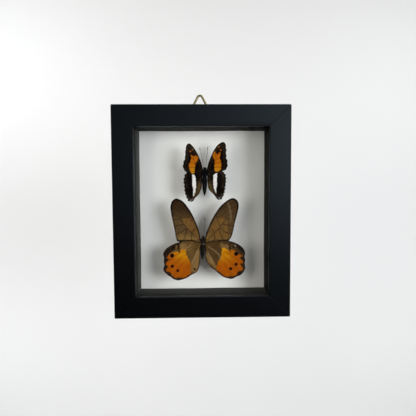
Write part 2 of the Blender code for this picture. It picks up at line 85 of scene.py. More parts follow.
UPPER_PLAN = {
    "body": {
        "thorax": (1.9, 1.85, 2.9),
        "head": (1.05, 3.15),
        "turn": 1.0,
        "abdomen": [(-1.6, 1.3), (-3.4, 1.6), (-6.0, 1.9), (-9.0, 1.85), (-12.0, 1.5), (-14.6, 0.95),
                    (-16.5, 0.35)],
        "hair": (0.004, 0.0035, 0.0035),
        "shell": (0.0034, 0.0031, 0.0038),
        "tufts": [],
    },
    "antennae": {
        "upper_antenna_left": [(-0.6, 3.6), (-1.5, 8.6), (-2.7, 14.0), (-3.6, 18.3)],
        "upper_antenna_right": [(0.5, 3.8), (1.2, 8.6), (1.8, 14.0), (2.3, 18.9)],
    },
    "half_span": 16.0,
    "forewing_left": {
        "outline": [(-1.4, 0.6), (-2.0, 5.3), (-3.1, 9.1), (-5.0, 13.5), (-7.1, 17.3), (-9.7, 20.5),
                    (-11.7, 21.5), (-13.5, 19.6), (-14.1, 15.4), (-14.3, 11.4), (-15.2, 8.6),
                    (-15.8, 6.5), (-15.8, 3.8), (-14.6, 1.5), (-12.9, 0.4), (-9.0, -1.0), (-5.0, -0.8)],
        "scallops": ((-14.1, 17.0), (-15.8, 3.0), 4, 0.6),
        "patch": [[(-10.0, 13.5), (-9.1, 12.3), (-7.8, 12.6), (-5.9, 12.9), (-4.8, 11.0), (-5.6, 9.1),
                   (-6.7, 7.8), (-6.9, 5.3), (-7.4, 1.5), (-7.9, -0.4), (-9.2, -0.4), (-10.4, 1.2),
                   (-11.2, 4.1), (-11.3, 6.6), (-10.5, 9.1), (-9.7, 10.7)]],
        "glow": [(-8.8, 17.2, 0.42), (-10.5, 15.6, 0.46)],
    },
    "forewing_right": {
        "outline": [(1.4, 0.6), (2.0, 4.9), (2.9, 7.8), (4.6, 12.0), (6.8, 16.7), (9.7, 20.5),
                    (13.3, 22.4), (15.3, 20.7), (15.7, 16.7), (15.7, 11.9), (16.4, 8.8), (16.7, 6.8),
                    (16.1, 3.3), (14.6, 1.8), (12.6, 1.2), (9.0, 0.1), (5.0, -0.4)],
        "scallops": ((15.6, 18.5), (16.1, 3.3), 4, 0.7),
        "patch": [[(5.5, 12.9), (7.5, 15.1), (9.1, 13.5), (11.0, 14.7), (11.8, 13.8), (11.3, 11.6),
                   (11.6, 9.0), (11.9, 6.5), (11.6, 3.7), (10.3, 1.1), (8.0, 0.5), (7.4, 3.4), (7.0, 6.5),
                   (7.4, 9.1), (6.8, 11.0)]],
        "glow": [(10.4, 18.8, 0.46), (11.8, 16.6, 0.52)],
    },
    "forewing_veins": [
        [(1.7, 2.2), (3.9, 8.0), (6.6, 13.0), (9.3, 16.5)],
        [(6.6, 13.0), (9.6, 17.6), (13.0, 23.0)],
        [(7.4, 14.1), (11.4, 18.0), (15.8, 21.0)],
        [(8.2, 12.0), (11.8, 14.6), (17.0, 16.0)],
        [(7.9, 9.6), (11.8, 11.2), (17.5, 11.6)],
        [(6.4, 6.4), (11.0, 7.6), (18.0, 7.4)],
        [(4.6, 3.6), (10.4, 4.2), (18.0, 3.6)],
        [(1.6, 1.2), (7.0, 0.9), (15.5, 1.3)],
        [(1.7, 2.2), (4.6, 3.6), (6.4, 6.4), (7.9, 9.6), (8.2, 12.0), (7.4, 14.1)],
    ],
    "hindwing_left": {
        "outline": [(-2.2, 1.2), (-9.8, 2.0), (-13.2, 0.3), (-14.7, -1.6), (-15.5, -5.7), (-15.2, -8.6),
                    (-14.8, -13.4), (-14.0, -16.6), (-13.0, -18.9), (-12.1, -20.5), (-10.0, -21.1),
                    (-8.6, -20.4), (-7.1, -18.2), (-4.8, -16.0), (-3.1, -12.6), (-2.3, -9.6)],
        "scallops": ((-14.0, -0.6), (-11.2, -20.9), 8, 0.85),
        "patch": [[(-9.2, -0.4), (-7.9, -0.7), (-6.6, -2.3), (-6.5, -5.5), (-6.2, -8.7), (-6.6, -11.9),
                   (-7.4, -15.4), (-8.4, -17.1), (-9.0, -15.7), (-8.8, -12.5), (-9.3, -9.3), (-9.4, -5.5),
                   (-9.5, -2.9)]],
        "tan": [[(-5.2, -6.2), (-4.0, -6.0), (-2.6, -9.8), (-3.4, -12.6), (-5.2, -16.2), (-7.0, -17.8),
                 (-6.6, -14.6), (-5.6, -11.0)]],
        "fleck": [(-8.3, -18.0, 0.45)],
        "glow": [(-10.4, -19.9, 0.4), (-9.0, -19.2, 0.25), (-12.1, -19.0, 0.2)],
    },
    "hindwing_right": {
        "outline": [(2.2, 1.2), (9.8, 2.2), (13.5, 0.8), (14.9, -1.1), (15.5, -3.6), (15.5, -6.2),
                    (15.1, -9.4), (14.8, -12.3), (14.0, -15.5), (12.9, -18.1), (11.8, -19.4),
                    (10.3, -19.8), (8.9, -19.0), (6.7, -16.1), (4.5, -13.9), (2.9, -11.8), (2.3, -9.6)],
        "scallops": ((14.4, -0.4), (11.2, -19.7), 8, 0.85),
        "patch": [[(8.9, 0.4), (9.2, -1.4), (9.0, -4.6), (9.2, -8.7), (8.5, -11.9), (8.7, -15.1),
                   (7.7, -14.5), (6.4, -11.3), (5.8, -7.8), (6.0, -3.9), (6.1, -1.4), (7.4, -0.3)]],
        "tan": [[(4.4, -6.2), (3.2, -6.4), (2.6, -9.6), (3.6, -12.4), (5.4, -14.6), (7.0, -16.2),
                 (6.2, -13.0), (5.2, -9.8)]],
        "fleck": [(8.3, -17.3, 0.3)],
        "glow": [(10.7, -18.5, 0.4), (9.5, -18.2, 0.25), (12.0, -17.2, 0.2)],
    },
    "hindwing_veins": [
        [(2.4, 0.6), (7.0, -0.2), (16.5, -1.8)],
        [(2.4, 0.4), (6.4, -2.2), (16.5, -5.4)],
        [(6.4, -2.2), (10.4, -5.6), (16.5, -9.0)],
        [(6.0, -4.6), (10.0, -9.6), (16.0, -13.4)],
        [(5.2, -5.8), (8.8, -12.0), (14.8, -18.0)],
        [(3.9, -5.0), (7.2, -12.6), (11.6, -21.0)],
        [(2.6, -1.0), (4.6, -9.6), (9.2, -19.6)],
        [(2.4, -0.4), (3.9, -5.0), (5.2, -5.8), (6.0, -4.6), (6.4, -2.2)],
    ],
}

LOWER_PLAN = {
    "body": {
        "thorax": (2.1, 2.0, 2.9),
        "head": (0.8, 3.5),
        "turn": 3.0,
        "abdomen": [(-1.5, 1.5), (-2.9, 1.7), (-4.8, 1.75), (-7.4, 1.65), (-9.8, 1.35), (-11.8, 0.8),
                    (-13.0, 0.3)],
        "hair": (0.038, 0.019, 0.01),
        "shell": (0.013, 0.0105, 0.008),
        "tufts": [(-2.0, -0.9), (0.4, -1.1), (-0.2, -3.6), (1.9, -3.4)],
    },
    "antennae": {"lower_antenna": [(0.6, 4.2), (1.0, 9.0), (1.2, 13.5), (1.3, 17.8)]},
    "half_span": 31.0,
    "forewing_left": {
        "outline": [(-1.5, -0.6), (-2.1, 3.4), (-3.4, 9.5), (-5.5, 15.2), (-8.1, 20.9), (-10.7, 25.2),
                    (-13.7, 29.2), (-16.7, 31.5), (-19.9, 32.4), (-22.3, 30.9), (-23.4, 28.8),
                    (-23.9, 25.7), (-23.3, 20.6), (-22.0, 14.0), (-20.8, 7.9), (-20.0, 3.1), (-18.7, 0.7),
                    (-13.9, 0.6), (-9.1, 0.8)],
        "patch": [[(-14.6, 18.0), (-14.6, 18.0), (-9.4, 17.8), (-6.5, 16.4), (-6.5, 16.4), (-4.1, 11.4),
                   (-2.3, 6.9), (-1.9, 3.4), (-1.9, 3.4), (-3.7, 2.4), (-8.2, 6.5), (-11.7, 10.5),
                   (-14.6, 15.1), (-14.6, 15.1)]],
        "line": [[(-17.5, 10.6), (-18.3, 6.5), (-18.8, 1.6)],
                 [(-9.4, 17.7), (-8.8, 15.0)],
                 [(-7.1, 7.8), (-5.5, 9.6)]],
        "pale": [[(-18.0, 1.0), (-9.4, 1.2)]],
    },
    "forewing_right": {
        # painted light: the right forewing's tip is drawn less dark than the left one's, standing in for
        # uneven light
        "painted_side_light": 0.6,
        "outline": [(1.5, -0.4), (2.0, 5.5), (4.0, 11.2), (6.6, 16.9), (9.7, 22.1), (12.8, 26.4),
                    (16.7, 29.9), (19.7, 31.8), (22.4, 32.4), (24.9, 31.1), (26.2, 28.5), (26.2, 25.4),
                    (25.1, 20.2), (23.6, 14.5), (22.5, 9.3), (21.0, 4.0), (19.5, 1.6), (18.6, 0.9),
                    (14.5, 0.6), (7.9, 0.2)],
        "patch": [[(3.1, 2.4), (3.1, 2.4), (4.5, 8.2), (6.9, 13.9), (9.9, 18.1), (9.9, 18.1),
                   (13.4, 18.3), (17.5, 18.0), (17.5, 18.0), (18.4, 14.0), (18.6, 8.5), (18.2, 2.2),
                   (18.2, 2.2), (13.5, 1.6), (8.0, 1.6)]],
        "line": [[(18.3, 18.0), (19.0, 10.3), (18.8, 2.2)], [(9.6, 18.5), (11.2, 15.4), (12.5, 12.2)]],
        "pale": [[(18.2, 29.2), (19.7, 25.2), (20.4, 21.1), (20.5, 16.6)]],
    },
    "forewing_veins": [
        [(1.8, 2.4), (4.4, 9.6), (8.2, 16.6), (12.2, 22.6), (18.4, 29.6), (22.0, 33.5)],
        [(12.2, 22.6), (18.8, 27.4), (27.5, 31.0)],
        [(13.6, 19.4), (19.6, 24.4), (28.5, 27.0)],
        [(16.2, 18.2), (20.6, 20.6), (28.0, 22.0)],
        [(17.0, 17.6), (20.8, 17.0), (28.0, 16.8)],
        [(14.4, 13.4), (18.8, 12.4), (27.0, 11.0)],
        [(12.1, 10.2), (12.2, 8.6), (13.2, 5.0), (14.4, 1.8), (14.6, 0.0)],
        [(12.6, 10.6), (16.0, 7.6), (20.0, 6.2), (25.0, 5.4)],
        [(6.0, 10.7), (7.8, 7.7), (8.5, 5.0), (8.7, 1.0)],
        [(1.8, 1.2), (8.0, 1.5), (20.5, 1.7)],
        [(1.8, 1.8), (4.0, 2.4), (8.7, 7.3), (12.1, 10.4), (14.8, 14.2), (17.0, 17.6)],
        [(17.0, 17.6), (15.4, 18.4), (12.6, 18.4), (9.9, 18.6), (9.2, 18.2)],
    ],
    "hindwing_left": {
        "outline": [(-2.3, 1.4), (-12.0, 2.4), (-18.3, -0.1), (-21.8, -1.4), (-24.9, -2.9), (-27.5, -4.9),
                    (-29.2, -7.3), (-29.7, -8.8), (-29.1, -11.5), (-29.3, -14.1), (-28.9, -16.7),
                    (-29.6, -19.4), (-29.4, -21.2), (-27.3, -23.9), (-24.2, -26.1), (-22.1, -27.7),
                    (-19.0, -28.6), (-15.5, -28.0), (-12.0, -26.7), (-8.5, -24.5), (-5.0, -22.6),
                    (-3.3, -19.6), (-2.6, -15.7), (-2.4, -11.7), (-2.2, -6.4)],
        "patch": [[(-12.9, -5.6), (-12.9, -5.6), (-17.0, -5.9), (-18.0, -7.4), (-20.5, -7.0),
                   (-23.7, -7.8), (-25.6, -9.6), (-27.2, -11.6), (-27.2, -11.6), (-25.1, -12.7),
                   (-25.1, -12.7), (-28.6, -16.5), (-28.6, -16.5), (-25.6, -17.8), (-25.6, -17.8),
                   (-28.0, -21.2), (-28.0, -21.2), (-25.4, -22.9), (-23.4, -23.8), (-22.5, -26.1),
                   (-20.2, -27.0), (-17.6, -26.6), (-15.4, -27.2), (-12.2, -26.0), (-9.9, -24.6),
                   (-9.2, -20.0), (-9.7, -15.3), (-11.5, -12.2), (-12.4, -9.4)]],
        "dark": [[(-20.9, -0.2), (-20.5, -3.2), (-22.4, -6.0), (-24.7, -8.2), (-27.4, -11.6),
                  (-30.5, -14.0), (-31.5, -6.0), (-26.0, -0.5)],
                 [(-18.9, -0.8), (-17.5, -1.0), (-17.3, -8.4), (-17.3, -8.4), (-18.4, -7.0),
                  (-19.0, -4.0)],
                 [(-25.6, -22.0), (-24.0, -24.3), (-25.8, -27.0), (-30.0, -23.4)],
                 [(-20.4, -27.4), (-18.0, -26.5), (-15.6, -27.4), (-17.6, -29.6)]],
        "tan": [[(-17.0, -2.0), (-12.9, -2.0), (-12.8, -5.4), (-16.9, -6.2)],
                [(-2.6, -5.6), (-3.0, -13.8), (-4.4, -20.0), (-7.5, -23.2), (-9.2, -21.0), (-7.6, -15.2),
                 (-5.6, -9.0)]],
        "spots": [(-23.1, -10.0, 1.55), (-23.1, -17.9, 1.2), (-19.0, -21.3, 1.1), (-22.0, -4.7, 1.3),
                  (-6.5, -20.2, 0.7), (-5.9, -20.7, 0.5)],
        "glow": [(-21.9, -4.8, 0.2)],
        "line": [[(-9.6, -23.9), (-7.6, -21.9), (-5.3, -20.9)]],
        "crease": [[(-4.0, -6.0), (-6.4, -11.4), (-8.1, -16.1)], [(-9.3, -2.3), (-11.3, -3.9)]],
    },
    "hindwing_right": {
        # painted light: the right hindwing's root is drawn darker than the left one's, standing in for uneven
        # light
        "painted_side_light": 0.3,
        "outline": [(2.3, 1.4), (12.0, 2.4), (19.5, 0.6), (22.8, -0.4), (25.9, -1.8), (28.5, -3.6),
                    (30.5, -6.1), (31.2, -8.9), (30.7, -11.1), (31.2, -13.8), (30.8, -16.4),
                    (31.3, -19.6), (30.3, -22.2), (28.0, -24.9), (24.9, -26.2), (21.4, -27.9),
                    (17.9, -27.4), (14.6, -26.2), (11.2, -23.5), (8.3, -21.0), (5.1, -18.7), (2.9, -15.4),
                    (1.8, -12.4), (1.7, -8.7)],
        "patch": [[(14.5, -4.6), (18.3, -5.8), (20.0, -7.0), (20.7, -5.6), (23.1, -6.4), (26.4, -8.9),
                   (29.2, -10.7), (26.9, -11.9), (28.4, -13.6), (30.0, -15.8), (27.1, -16.5),
                   (28.4, -18.2), (29.6, -20.4), (28.4, -21.7), (25.9, -22.5), (25.3, -24.4),
                   (23.2, -25.6), (21.0, -26.2), (18.6, -25.9), (15.6, -25.6), (12.4, -23.4),
                   (9.9, -20.4), (10.9, -15.4), (12.6, -12.6), (13.5, -9.8)]],
        "dark": [[(19.0, -1.2), (20.3, -1.6), (20.3, -8.2), (19.2, -5.2)],
                 [(20.4, -27.0), (22.0, -26.3), (19.6, -25.9), (23.6, -29.5), (19.4, -29.0)],
                 [(25.7, -22.9), (28.4, -21.9), (30.6, -21.4), (28.8, -25.6), (25.3, -25.2)]],
        "tan": [[(14.0, -1.9), (18.6, -2.3), (18.3, -5.2), (14.4, -4.8)],
                [(2.1, -9.0), (3.0, -13.9), (6.8, -18.4), (9.9, -21.4), (8.7, -15.3), (5.6, -11.9)]],
        "spots": [(24.5, -9.0, 1.55), (24.5, -16.9, 1.2), (20.4, -20.2, 1.2), (23.1, -3.5, 1.2)],
        "glow": [(23.7, -3.1, 0.75)],
        "crease": [[(3.7, -3.4), (7.3, -5.8), (12.0, -9.5)],
                   [(3.3, -7.4), (5.3, -11.5), (7.3, -16.2)],
                   [(9.3, -7.1), (12.0, -10.2), (13.0, -12.9)]],
    },
    "hindwing_veins": [
        [(2.4, 0.4), (9.0, 0.6), (18.0, -0.9), (30.0, -5.0)],
        [(2.4, 0.2), (10.0, -1.2), (18.6, -4.2), (24.0, -7.6), (32.0, -13.6)],
        [(12.6, -4.0), (18.6, -8.6), (25.0, -13.2), (32.5, -17.4)],
        [(13.0, -6.4), (18.0, -12.6), (24.0, -18.6), (32.0, -24.5)],
        [(11.4, -7.6), (15.6, -14.8), (20.2, -22.0), (24.6, -29.5)],
        [(8.6, -6.6), (12.2, -14.6), (15.6, -22.0), (18.0, -29.0)],
        [(2.5, -0.8), (5.8, -8.6), (9.4, -16.0), (12.0, -25.5)],
        [(2.4, -1.4), (3.6, -8.0), (5.2, -14.0), (7.4, -21.0)],
        [(2.4, -0.4), (5.4, -4.0), (8.6, -6.6), (11.4, -7.6), (13.0, -6.4), (12.6, -4.0), (10.0, -1.2)],
    ],
}
PLANS = {"upper": UPPER_PLAN, "lower": LOWER_PLAN}
WINGS = ("forewing_left", "forewing_right", "hindwing_left", "hindwing_right")


# ---------------------------------------------------------------- sizes and colours

def colour_of(title, words, value):
    return FloatVectorProperty(name=title, description=words, subtype="COLOR", size=3, min=0.0, max=1.0,
                               default=value)


def length_of(title, words, value, lowest=0.0):
    return FloatProperty(name=title, description=words, unit="LENGTH", min=lowest, precision=5, default=value)


def power_of(title, words, value):
    return FloatProperty(name=title, description=words, unit="POWER", default=value)


class CaseSettings(bpy.types.PropertyGroup):
    """Frame, glass, lining and back."""

    paint: colour_of("Paint", "Black paint on the frame", (0.0008, 0.0008, 0.0011))
    rubbed: colour_of("Rubbed edge", "Paint where an edge is rubbed thin", (0.012, 0.012, 0.013))
    eased: length_of("Eased edge", "Rounding of the frame's long edges", 0.3 * MM)
    joint: length_of("Mitre joint", "Width of the line between two bars", 0.05 * MM)
    lining: colour_of("Lining", "Black strips between the glass and the card", (0.015, 0.0155, 0.0145))
    card: colour_of("Card", "White card behind the specimens", (0.79, 0.79, 0.805))
    board: colour_of("Hardboard", "Panel that closes the back", (0.2, 0.105, 0.048))
    glass_index: FloatProperty(name="Glass index", description="How strongly the pane bends light",
                               min=1.0, max=2.0, default=1.5)


class HangerSettings(bpy.types.PropertyGroup):
    """Ring, strap and screw."""

    brass: colour_of("Brass", "Colour of the hanger", (0.66, 0.56, 0.34))
    worn: colour_of("Dull brass", "Brass where it has tarnished", (0.34, 0.28, 0.15))
    wire: length_of("Wire radius", "Half the thickness of the ring's wire", 0.95 * MM)
    sheet: length_of("Strap sheet", "Thickness of the strap's sheet", 0.8 * MM)


class SpecimenSettings(bpy.types.PropertyGroup):
    """Wings, bodies and posts."""

    cell: length_of("Wing cell", "Width of the small cells that a wing is divided into", 0.42 * MM, 0.1 * MM)
    wing: length_of("Wing thickness", "Thickness of a dried wing", 0.12 * MM)
    rise: length_of("Wing rise", "How far the wing tips stand in front of the wing roots", 0.7 * MM)
    vein: length_of("Vein radius", "Half the thickness of a vein at its root", 0.13 * MM)
    hairs: IntProperty(name="Hairs", description="Number of hairs on each body", min=0, max=4000,
                       default=1500)
    dark: colour_of("Dark wing", "Brown black of the upper butterfly", (0.0034, 0.0018, 0.0013))
    orange: colour_of("Orange band", "Band across the upper butterfly's forewings", (0.42, 0.112, 0.002))
    white: colour_of("White band", "Band across the upper butterfly's hindwings", (0.8, 0.765, 0.78))
    brown: colour_of("Brown wing", "Forewings of the lower butterfly", (0.106, 0.06, 0.022))
    amber: colour_of("Amber", "Golden field of the lower butterfly's forewings", (0.165, 0.08, 0.017))
    field: colour_of("Orange field", "Outer field of the lower butterfly's hindwings", (0.33, 0.074, 0.0008))
    tan: colour_of("Tan", "Folded inner part of the hindwings", (0.23, 0.13, 0.046))


class StageSettings(bpy.types.PropertyGroup):
    """Backdrop, lights and camera."""

    wall: colour_of("Backdrop", "Pale wall and floor", (0.842, 0.862, 0.886))
    distance: length_of("Wall distance", "From the frame's back to the wall", 0.36)
    key: power_of("Key light", "Strength of the light at the right", 2.12)
    side: power_of("Side light", "Strength of the light at the left", 1.24)
    high: power_of("High light", "Strength of the big light above", 1.2)
    rear: power_of("Rear light", "Strength of the lights on the wall", 1.53)
    room: FloatProperty(name="Room light", description="Broad light from the room in front", min=0.0,
                        default=0.42)
    lens: FloatProperty(name="Lens", description="Focal length of the camera in millimetres", default=32.02)


def settings():
    return bpy.context.scene.butterfly_case_settings


# ---------------------------------------------------------------- modelling steps

def deselect_all():
    bpy.ops.object.select_all(action="DESELECT")


def take(piece):
    """Makes the piece the only selected and the active object."""
    deselect_all()
    piece.select_set(True)
    bpy.context.view_layer.objects.active = piece


def named(piece, name):
    piece.name = name
    piece.data.name = name
    return piece


def add_block(name, low, high):
    deselect_all()
    bpy.ops.mesh.primitive_cube_add(size=1.0, location=(low + high) / 2, scale=high - low)
    block = named(bpy.context.object, name)
    settle(block)
    return block


def add_rod(name, radius, length, place, axis, sides=24):
    deselect_all()
    turned = axis.to_track_quat("Z", "Y").to_euler()
    bpy.ops.mesh.primitive_cylinder_add(vertices=sides, radius=radius, depth=length, location=place,
                                        rotation=turned)
    rod = named(bpy.context.object, name)
    settle(rod)
    return rod


def settle(piece):
    """Puts the piece's place, turn and size in its mesh."""
    take(piece)
    bpy.ops.object.transform_apply(location=True, rotation=True, scale=True)


def edit(piece):
    take(piece)
    bpy.ops.object.mode_set(mode="EDIT")
    bpy.ops.mesh.select_mode(type="FACE")
    bpy.ops.mesh.select_all(action="SELECT")


def leave():
    bpy.ops.object.mode_set(mode="OBJECT")


def pick_faces(piece, wanted):
    """Selects the faces whose middle and normal pass the test, and goes back to edit mode."""
    leave()
    mesh = piece.data
    mesh.vertices.foreach_set("select", [False] * len(mesh.vertices))
    mesh.edges.foreach_set("select", [False] * len(mesh.edges))
    found = 0
    for face in mesh.polygons:
        face.select = bool(wanted(face.center, face.normal))
        found += face.select
    if not found:
        raise RuntimeError(f"{piece.name}: no face was found to work on")
    bpy.ops.object.mode_set(mode="EDIT")
    bpy.ops.mesh.select_mode(type="FACE")


def slice_through(place, normal, keep_inside=False):
    """Cuts everything by a plane, and with keep_inside takes off and closes what lies past it."""
    bpy.ops.mesh.select_all(action="SELECT")
    bpy.ops.mesh.bisect(plane_co=place, plane_no=normal, use_fill=keep_inside, clear_outer=keep_inside)


def apply_modifier(piece, kind, **values):
    take(piece)
    modifier = piece.modifiers.new(kind.lower(), kind)
    for key, value in values.items():
        setattr(modifier, key, value)
    bpy.ops.object.modifier_apply(modifier=modifier.name)


def bevel_all(piece, width, segments=2, angle=30.0):
    apply_modifier(piece, "BEVEL", width=width, segments=segments, limit_method="ANGLE",
                   angle_limit=math.radians(angle))


def cut_away(piece, cutter):
    apply_modifier(piece, "BOOLEAN", operation="DIFFERENCE", solver="EXACT", object=cutter)
    bpy.data.objects.remove(cutter, do_unlink=True)


def smooth(piece, angle=35.0):
    take(piece)
    bpy.ops.object.shade_smooth_by_angle(angle=math.radians(angle))


def smooth_flats(piece, angle=35.0):
    """Smooth shading that leaves the broad flat faces flat between their rounded edges."""
    smooth(piece, angle)
    apply_modifier(piece, "WEIGHTED_NORMAL", keep_sharp=True, weight=80)


def make_normals_outward(piece, distance=0.002 * MM):
    edit(piece)
    bpy.ops.mesh.remove_doubles(threshold=distance)
    bpy.ops.mesh.normals_make_consistent(inside=False)
    leave()


def join(name, parts):
    take(parts[0])
    for part in parts[1:]:
        part.select_set(True)
    bpy.ops.object.join()
    return named(bpy.context.object, name)


def points_of(piece):
    flat = np.empty(len(piece.data.vertices) * 3)
    piece.data.vertices.foreach_get("co", flat)
    return flat.reshape(-1, 3)


def move_points(piece, points):
    piece.data.vertices.foreach_set("co", np.asarray(points, np.float32).ravel())
    piece.data.update()


def write_attribute(piece, name, values):
    attribute = piece.data.attributes.get(name) or piece.data.attributes.new(name, "FLOAT", "POINT")
    attribute.data.foreach_set("value", np.asarray(values, np.float32))


def line_to_rod(name, points, radius, radii=None, closed=False, fineness=3):
    """A round rod along a line of points, as thick at each point as radii says."""
    curve = bpy.data.curves.new(name, "CURVE")
    curve.dimensions = "3D"
    curve.bevel_depth = radius
    curve.bevel_resolution = fineness
    curve.use_fill_caps = not closed
    spline = curve.splines.new("POLY")
    spline.points.add(len(points) - 1)
    for index, point in enumerate(points):
        spline.points[index].co = (*point, 1.0)
        spline.points[index].radius = 1.0 if radii is None else radii[index]
    spline.use_cyclic_u = closed
    rod = bpy.data.objects.new(name, curve)
    bpy.context.scene.collection.objects.link(rod)
    take(rod)
    bpy.ops.object.convert(target="MESH")
    return named(bpy.context.object, name)


def smooth_line(points, steps, closed=False):
    """A Catmull-Rom line through the points, with `steps` straight pieces between two of them."""
    points = [Vector(point) for point in points]
    count = len(points)
    line = []
    for i in range(count if closed else count - 1):
        near = (i + k for k in (-1, 0, 1, 2))
        a, b, c, d = (points[n % count] if closed else points[min(max(n, 0), count - 1)] for n in near)
        for step in range(steps):
            t = step / steps
            line.append(0.5 * (2 * b + (c - a) * t + (2 * a - 5 * b + 4 * c - d) * t ** 2
                               + (3 * b - a - 3 * c + d) * t ** 3))
    if not closed:
        line.append(points[-1])
    return line


def finish_piece(piece, body, slot, material, *nodes):
    """Gives the piece its material and body, and hides the solids that it stands for; the slot is not used.
    """
    if not piece.data.polygons:
        raise RuntimeError(f"{piece.name}: the piece has no faces")
    piece.data.materials.clear()
    piece.data.materials.append(material)
    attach(piece, body)
    if nodes:
        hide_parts(*nodes)


# ---------------------------------------------------------------- finishes

def scaled(colour, factor):
    return tuple(factor * part for part in colour)


class Nodes:
    """Short ways to add and join the nodes of one tree."""

    def __init__(self, tree):
        self.tree = tree
        self.place = None

    def place_of(self, kind):
        return self.add("ShaderNodeTexCoord").outputs[kind]

    def add(self, kind, inputs=None, **values):
        node = self.tree.nodes.new(kind)
        for key, value in values.items():
            setattr(node, key, value)
        for key, value in (inputs or {}).items():
            self.put(node.inputs[key], value)
        return node

    def put(self, socket, value):
        if isinstance(value, bpy.types.NodeSocket):
            self.tree.links.new(value, socket)
        elif socket.type == "RGBA" and len(value) == 3:
            socket.default_value = (*value, 1.0)
        else:
            socket.default_value = value

    def stretched(self, x, y, z):
        return self.add("ShaderNodeMapping", {"Vector": self.place, "Scale": (x, y, z)}).outputs["Vector"]

    def noise(self, scale, detail=3.0, roughness=0.5, vector=None):
        inputs = {"Vector": vector or self.place, "Scale": scale, "Detail": detail, "Roughness": roughness}
        return self.add("ShaderNodeTexNoise", inputs).outputs["Fac"]

    def cells(self, scale, vector=None, feature="F1"):
        inputs = {"Vector": vector or self.place, "Scale": scale}
        return self.add("ShaderNodeTexVoronoi", inputs, feature=feature).outputs["Distance"]

    def attribute(self, name):
        return self.add("ShaderNodeAttribute", attribute_name=name).outputs["Fac"]

    def maths(self, operation, a, b=0.0):
        return self.add("ShaderNodeMath", {0: a, 1: b}, operation=operation).outputs[0]

    def spread(self, value, low, high, to_low=0.0, to_high=1.0):
        inputs = {"Value": value, "From Min": low, "From Max": high, "To Min": to_low, "To Max": to_high}
        return self.add("ShaderNodeMapRange", inputs, interpolation_type="SMOOTHSTEP").outputs["Result"]

    def over(self, name, low, high, to_low=0.0, to_high=1.0):
        return self.spread(self.attribute(name), low, high, to_low, to_high)

    def times(self, value, factor):
        return self.maths("MULTIPLY", value, factor)

    def mix(self, factor, a, b, blend="MIX"):
        node = self.add("ShaderNodeMix", {0: factor, 6: a, 7: b}, data_type="RGBA", blend_type=blend)
        return node.outputs[2]

    def bump(self, height, distance, strength=1.0, normal=None):
        inputs = {"Height": height, "Distance": distance, "Strength": strength}
        if normal is not None:
            inputs["Normal"] = normal
        return self.add("ShaderNodeBump", inputs).outputs["Normal"]


class Finish(Nodes):
    """A material with one Principled shader, painted in the object's own coordinates."""

    def __init__(self, name, **sockets):
        self.material = bpy.data.materials.new(name)
        self.material.use_nodes = True
        super().__init__(self.material.node_tree)
        self.shader = self.tree.nodes["Principled BSDF"]
        for key, value in sockets.items():
            self.shader.inputs[key.replace("_", " ").title().replace("Ior", "IOR")].default_value = value
        self.place = self.place_of("Object")

    def use(self, colour=None, roughness=None, normal=None):
        for key, value in (("Base Color", colour), ("Roughness", roughness), ("Normal", normal)):
            if value is not None:
                self.put(self.shader.inputs[key], value)
        return self.material


def painted_wood(along):
    """Satin black paint over close grain that runs along the bar, rubbed at the edges."""
    case = settings().case
    # Painted reflection: Specular_Tint gives the black paint's reflections a blue cast, standing in for cool
    # light in the room.
    finish = Finish("black_paint_" + ("level" if along == X else "upright"), Specular_IOR_Level=0.6,
                    Specular_Tint=(0.62, 0.8, 1.0, 1.0))
    grain_scale = (40, 620, 620) if along == X else (620, 620, 40)
    grain = finish.noise(1.0, 4.0, 0.6, finish.stretched(*grain_scale))
    clouds = finish.noise(34.0, 3.0, 0.55)
    colour = finish.mix(finish.spread(clouds, 0.35, 0.7), case.paint, scaled(case.paint, 1.25))
    colour = finish.mix(finish.spread(grain, 0.45, 0.85, 0.0, 0.4), colour, scaled(case.paint, 2.0))
    worn = finish.times(finish.attribute("rubbed"), finish.spread(finish.noise(300.0, 4.0), 0.46, 0.66))
    colour = finish.mix(finish.times(worn, 0.8), colour, case.rubbed)
    rough = finish.spread(finish.noise(70.0, 2.0, 0.5), 0.3, 0.75, 0.292, 0.303)
    rough = finish.maths("ADD", rough, finish.times(finish.attribute("rabbet"), 0.3))
    relief = finish.bump(grain, 0.004 * MM, 0.5)
    relief = finish.bump(finish.noise(1400.0, 2.0), 0.0015 * MM, 0.5, relief)
    return finish.use(colour, rough, relief)


def lining_paper(word, along):
    """Black board cut in strips: matte, with faint fibres and streaks; each strip has its own painted light
    level, and painted shade darkens it towards the glass.
    """
    case = settings().case
    finish = Finish("lining_" + word, Specular_IOR_Level=0.08)
    # Painted light: the same black is scaled per strip, lighter on the left and bottom strips and darker on
    # the top and right ones, standing in for uneven light.
    strip_painted_light = {"top": 0.66, "bottom": 3.1, "left": 3.7, "right": 0.5}[word]
    black = scaled(case.lining, strip_painted_light)
    scale = (35, 900, 900) if along == X else (900, 900, 35)
    streaks = finish.noise(1.0, 4.0, 0.65, finish.stretched(*scale))
    colour = finish.mix(finish.spread(streaks, 0.35, 0.7), scaled(black, 0.75), scaled(black, 1.5))
    fibres = finish.noise(2600.0, 3.0, 0.7)
    colour = finish.mix(finish.spread(fibres, 0.62, 0.8, 0.0, 0.4), colour, scaled(black, 2.4))
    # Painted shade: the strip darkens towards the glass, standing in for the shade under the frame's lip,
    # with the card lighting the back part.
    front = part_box("spacer_top")[0].y
    depth = finish.add("ShaderNodeSeparateXYZ", {0: finish.place}).outputs["Y"]
    painted_shade_by_glass = finish.spread(depth, front + 0.001, front + 0.012, 0.62, 0.0)
    colour = finish.mix(painted_shade_by_glass, colour, (0.002, 0.002, 0.002))
    rough = finish.spread(streaks, 0.3, 0.7, 0.62, 0.82)
    return finish.use(colour, rough, finish.bump(fibres, 0.02 * MM, 0.6))


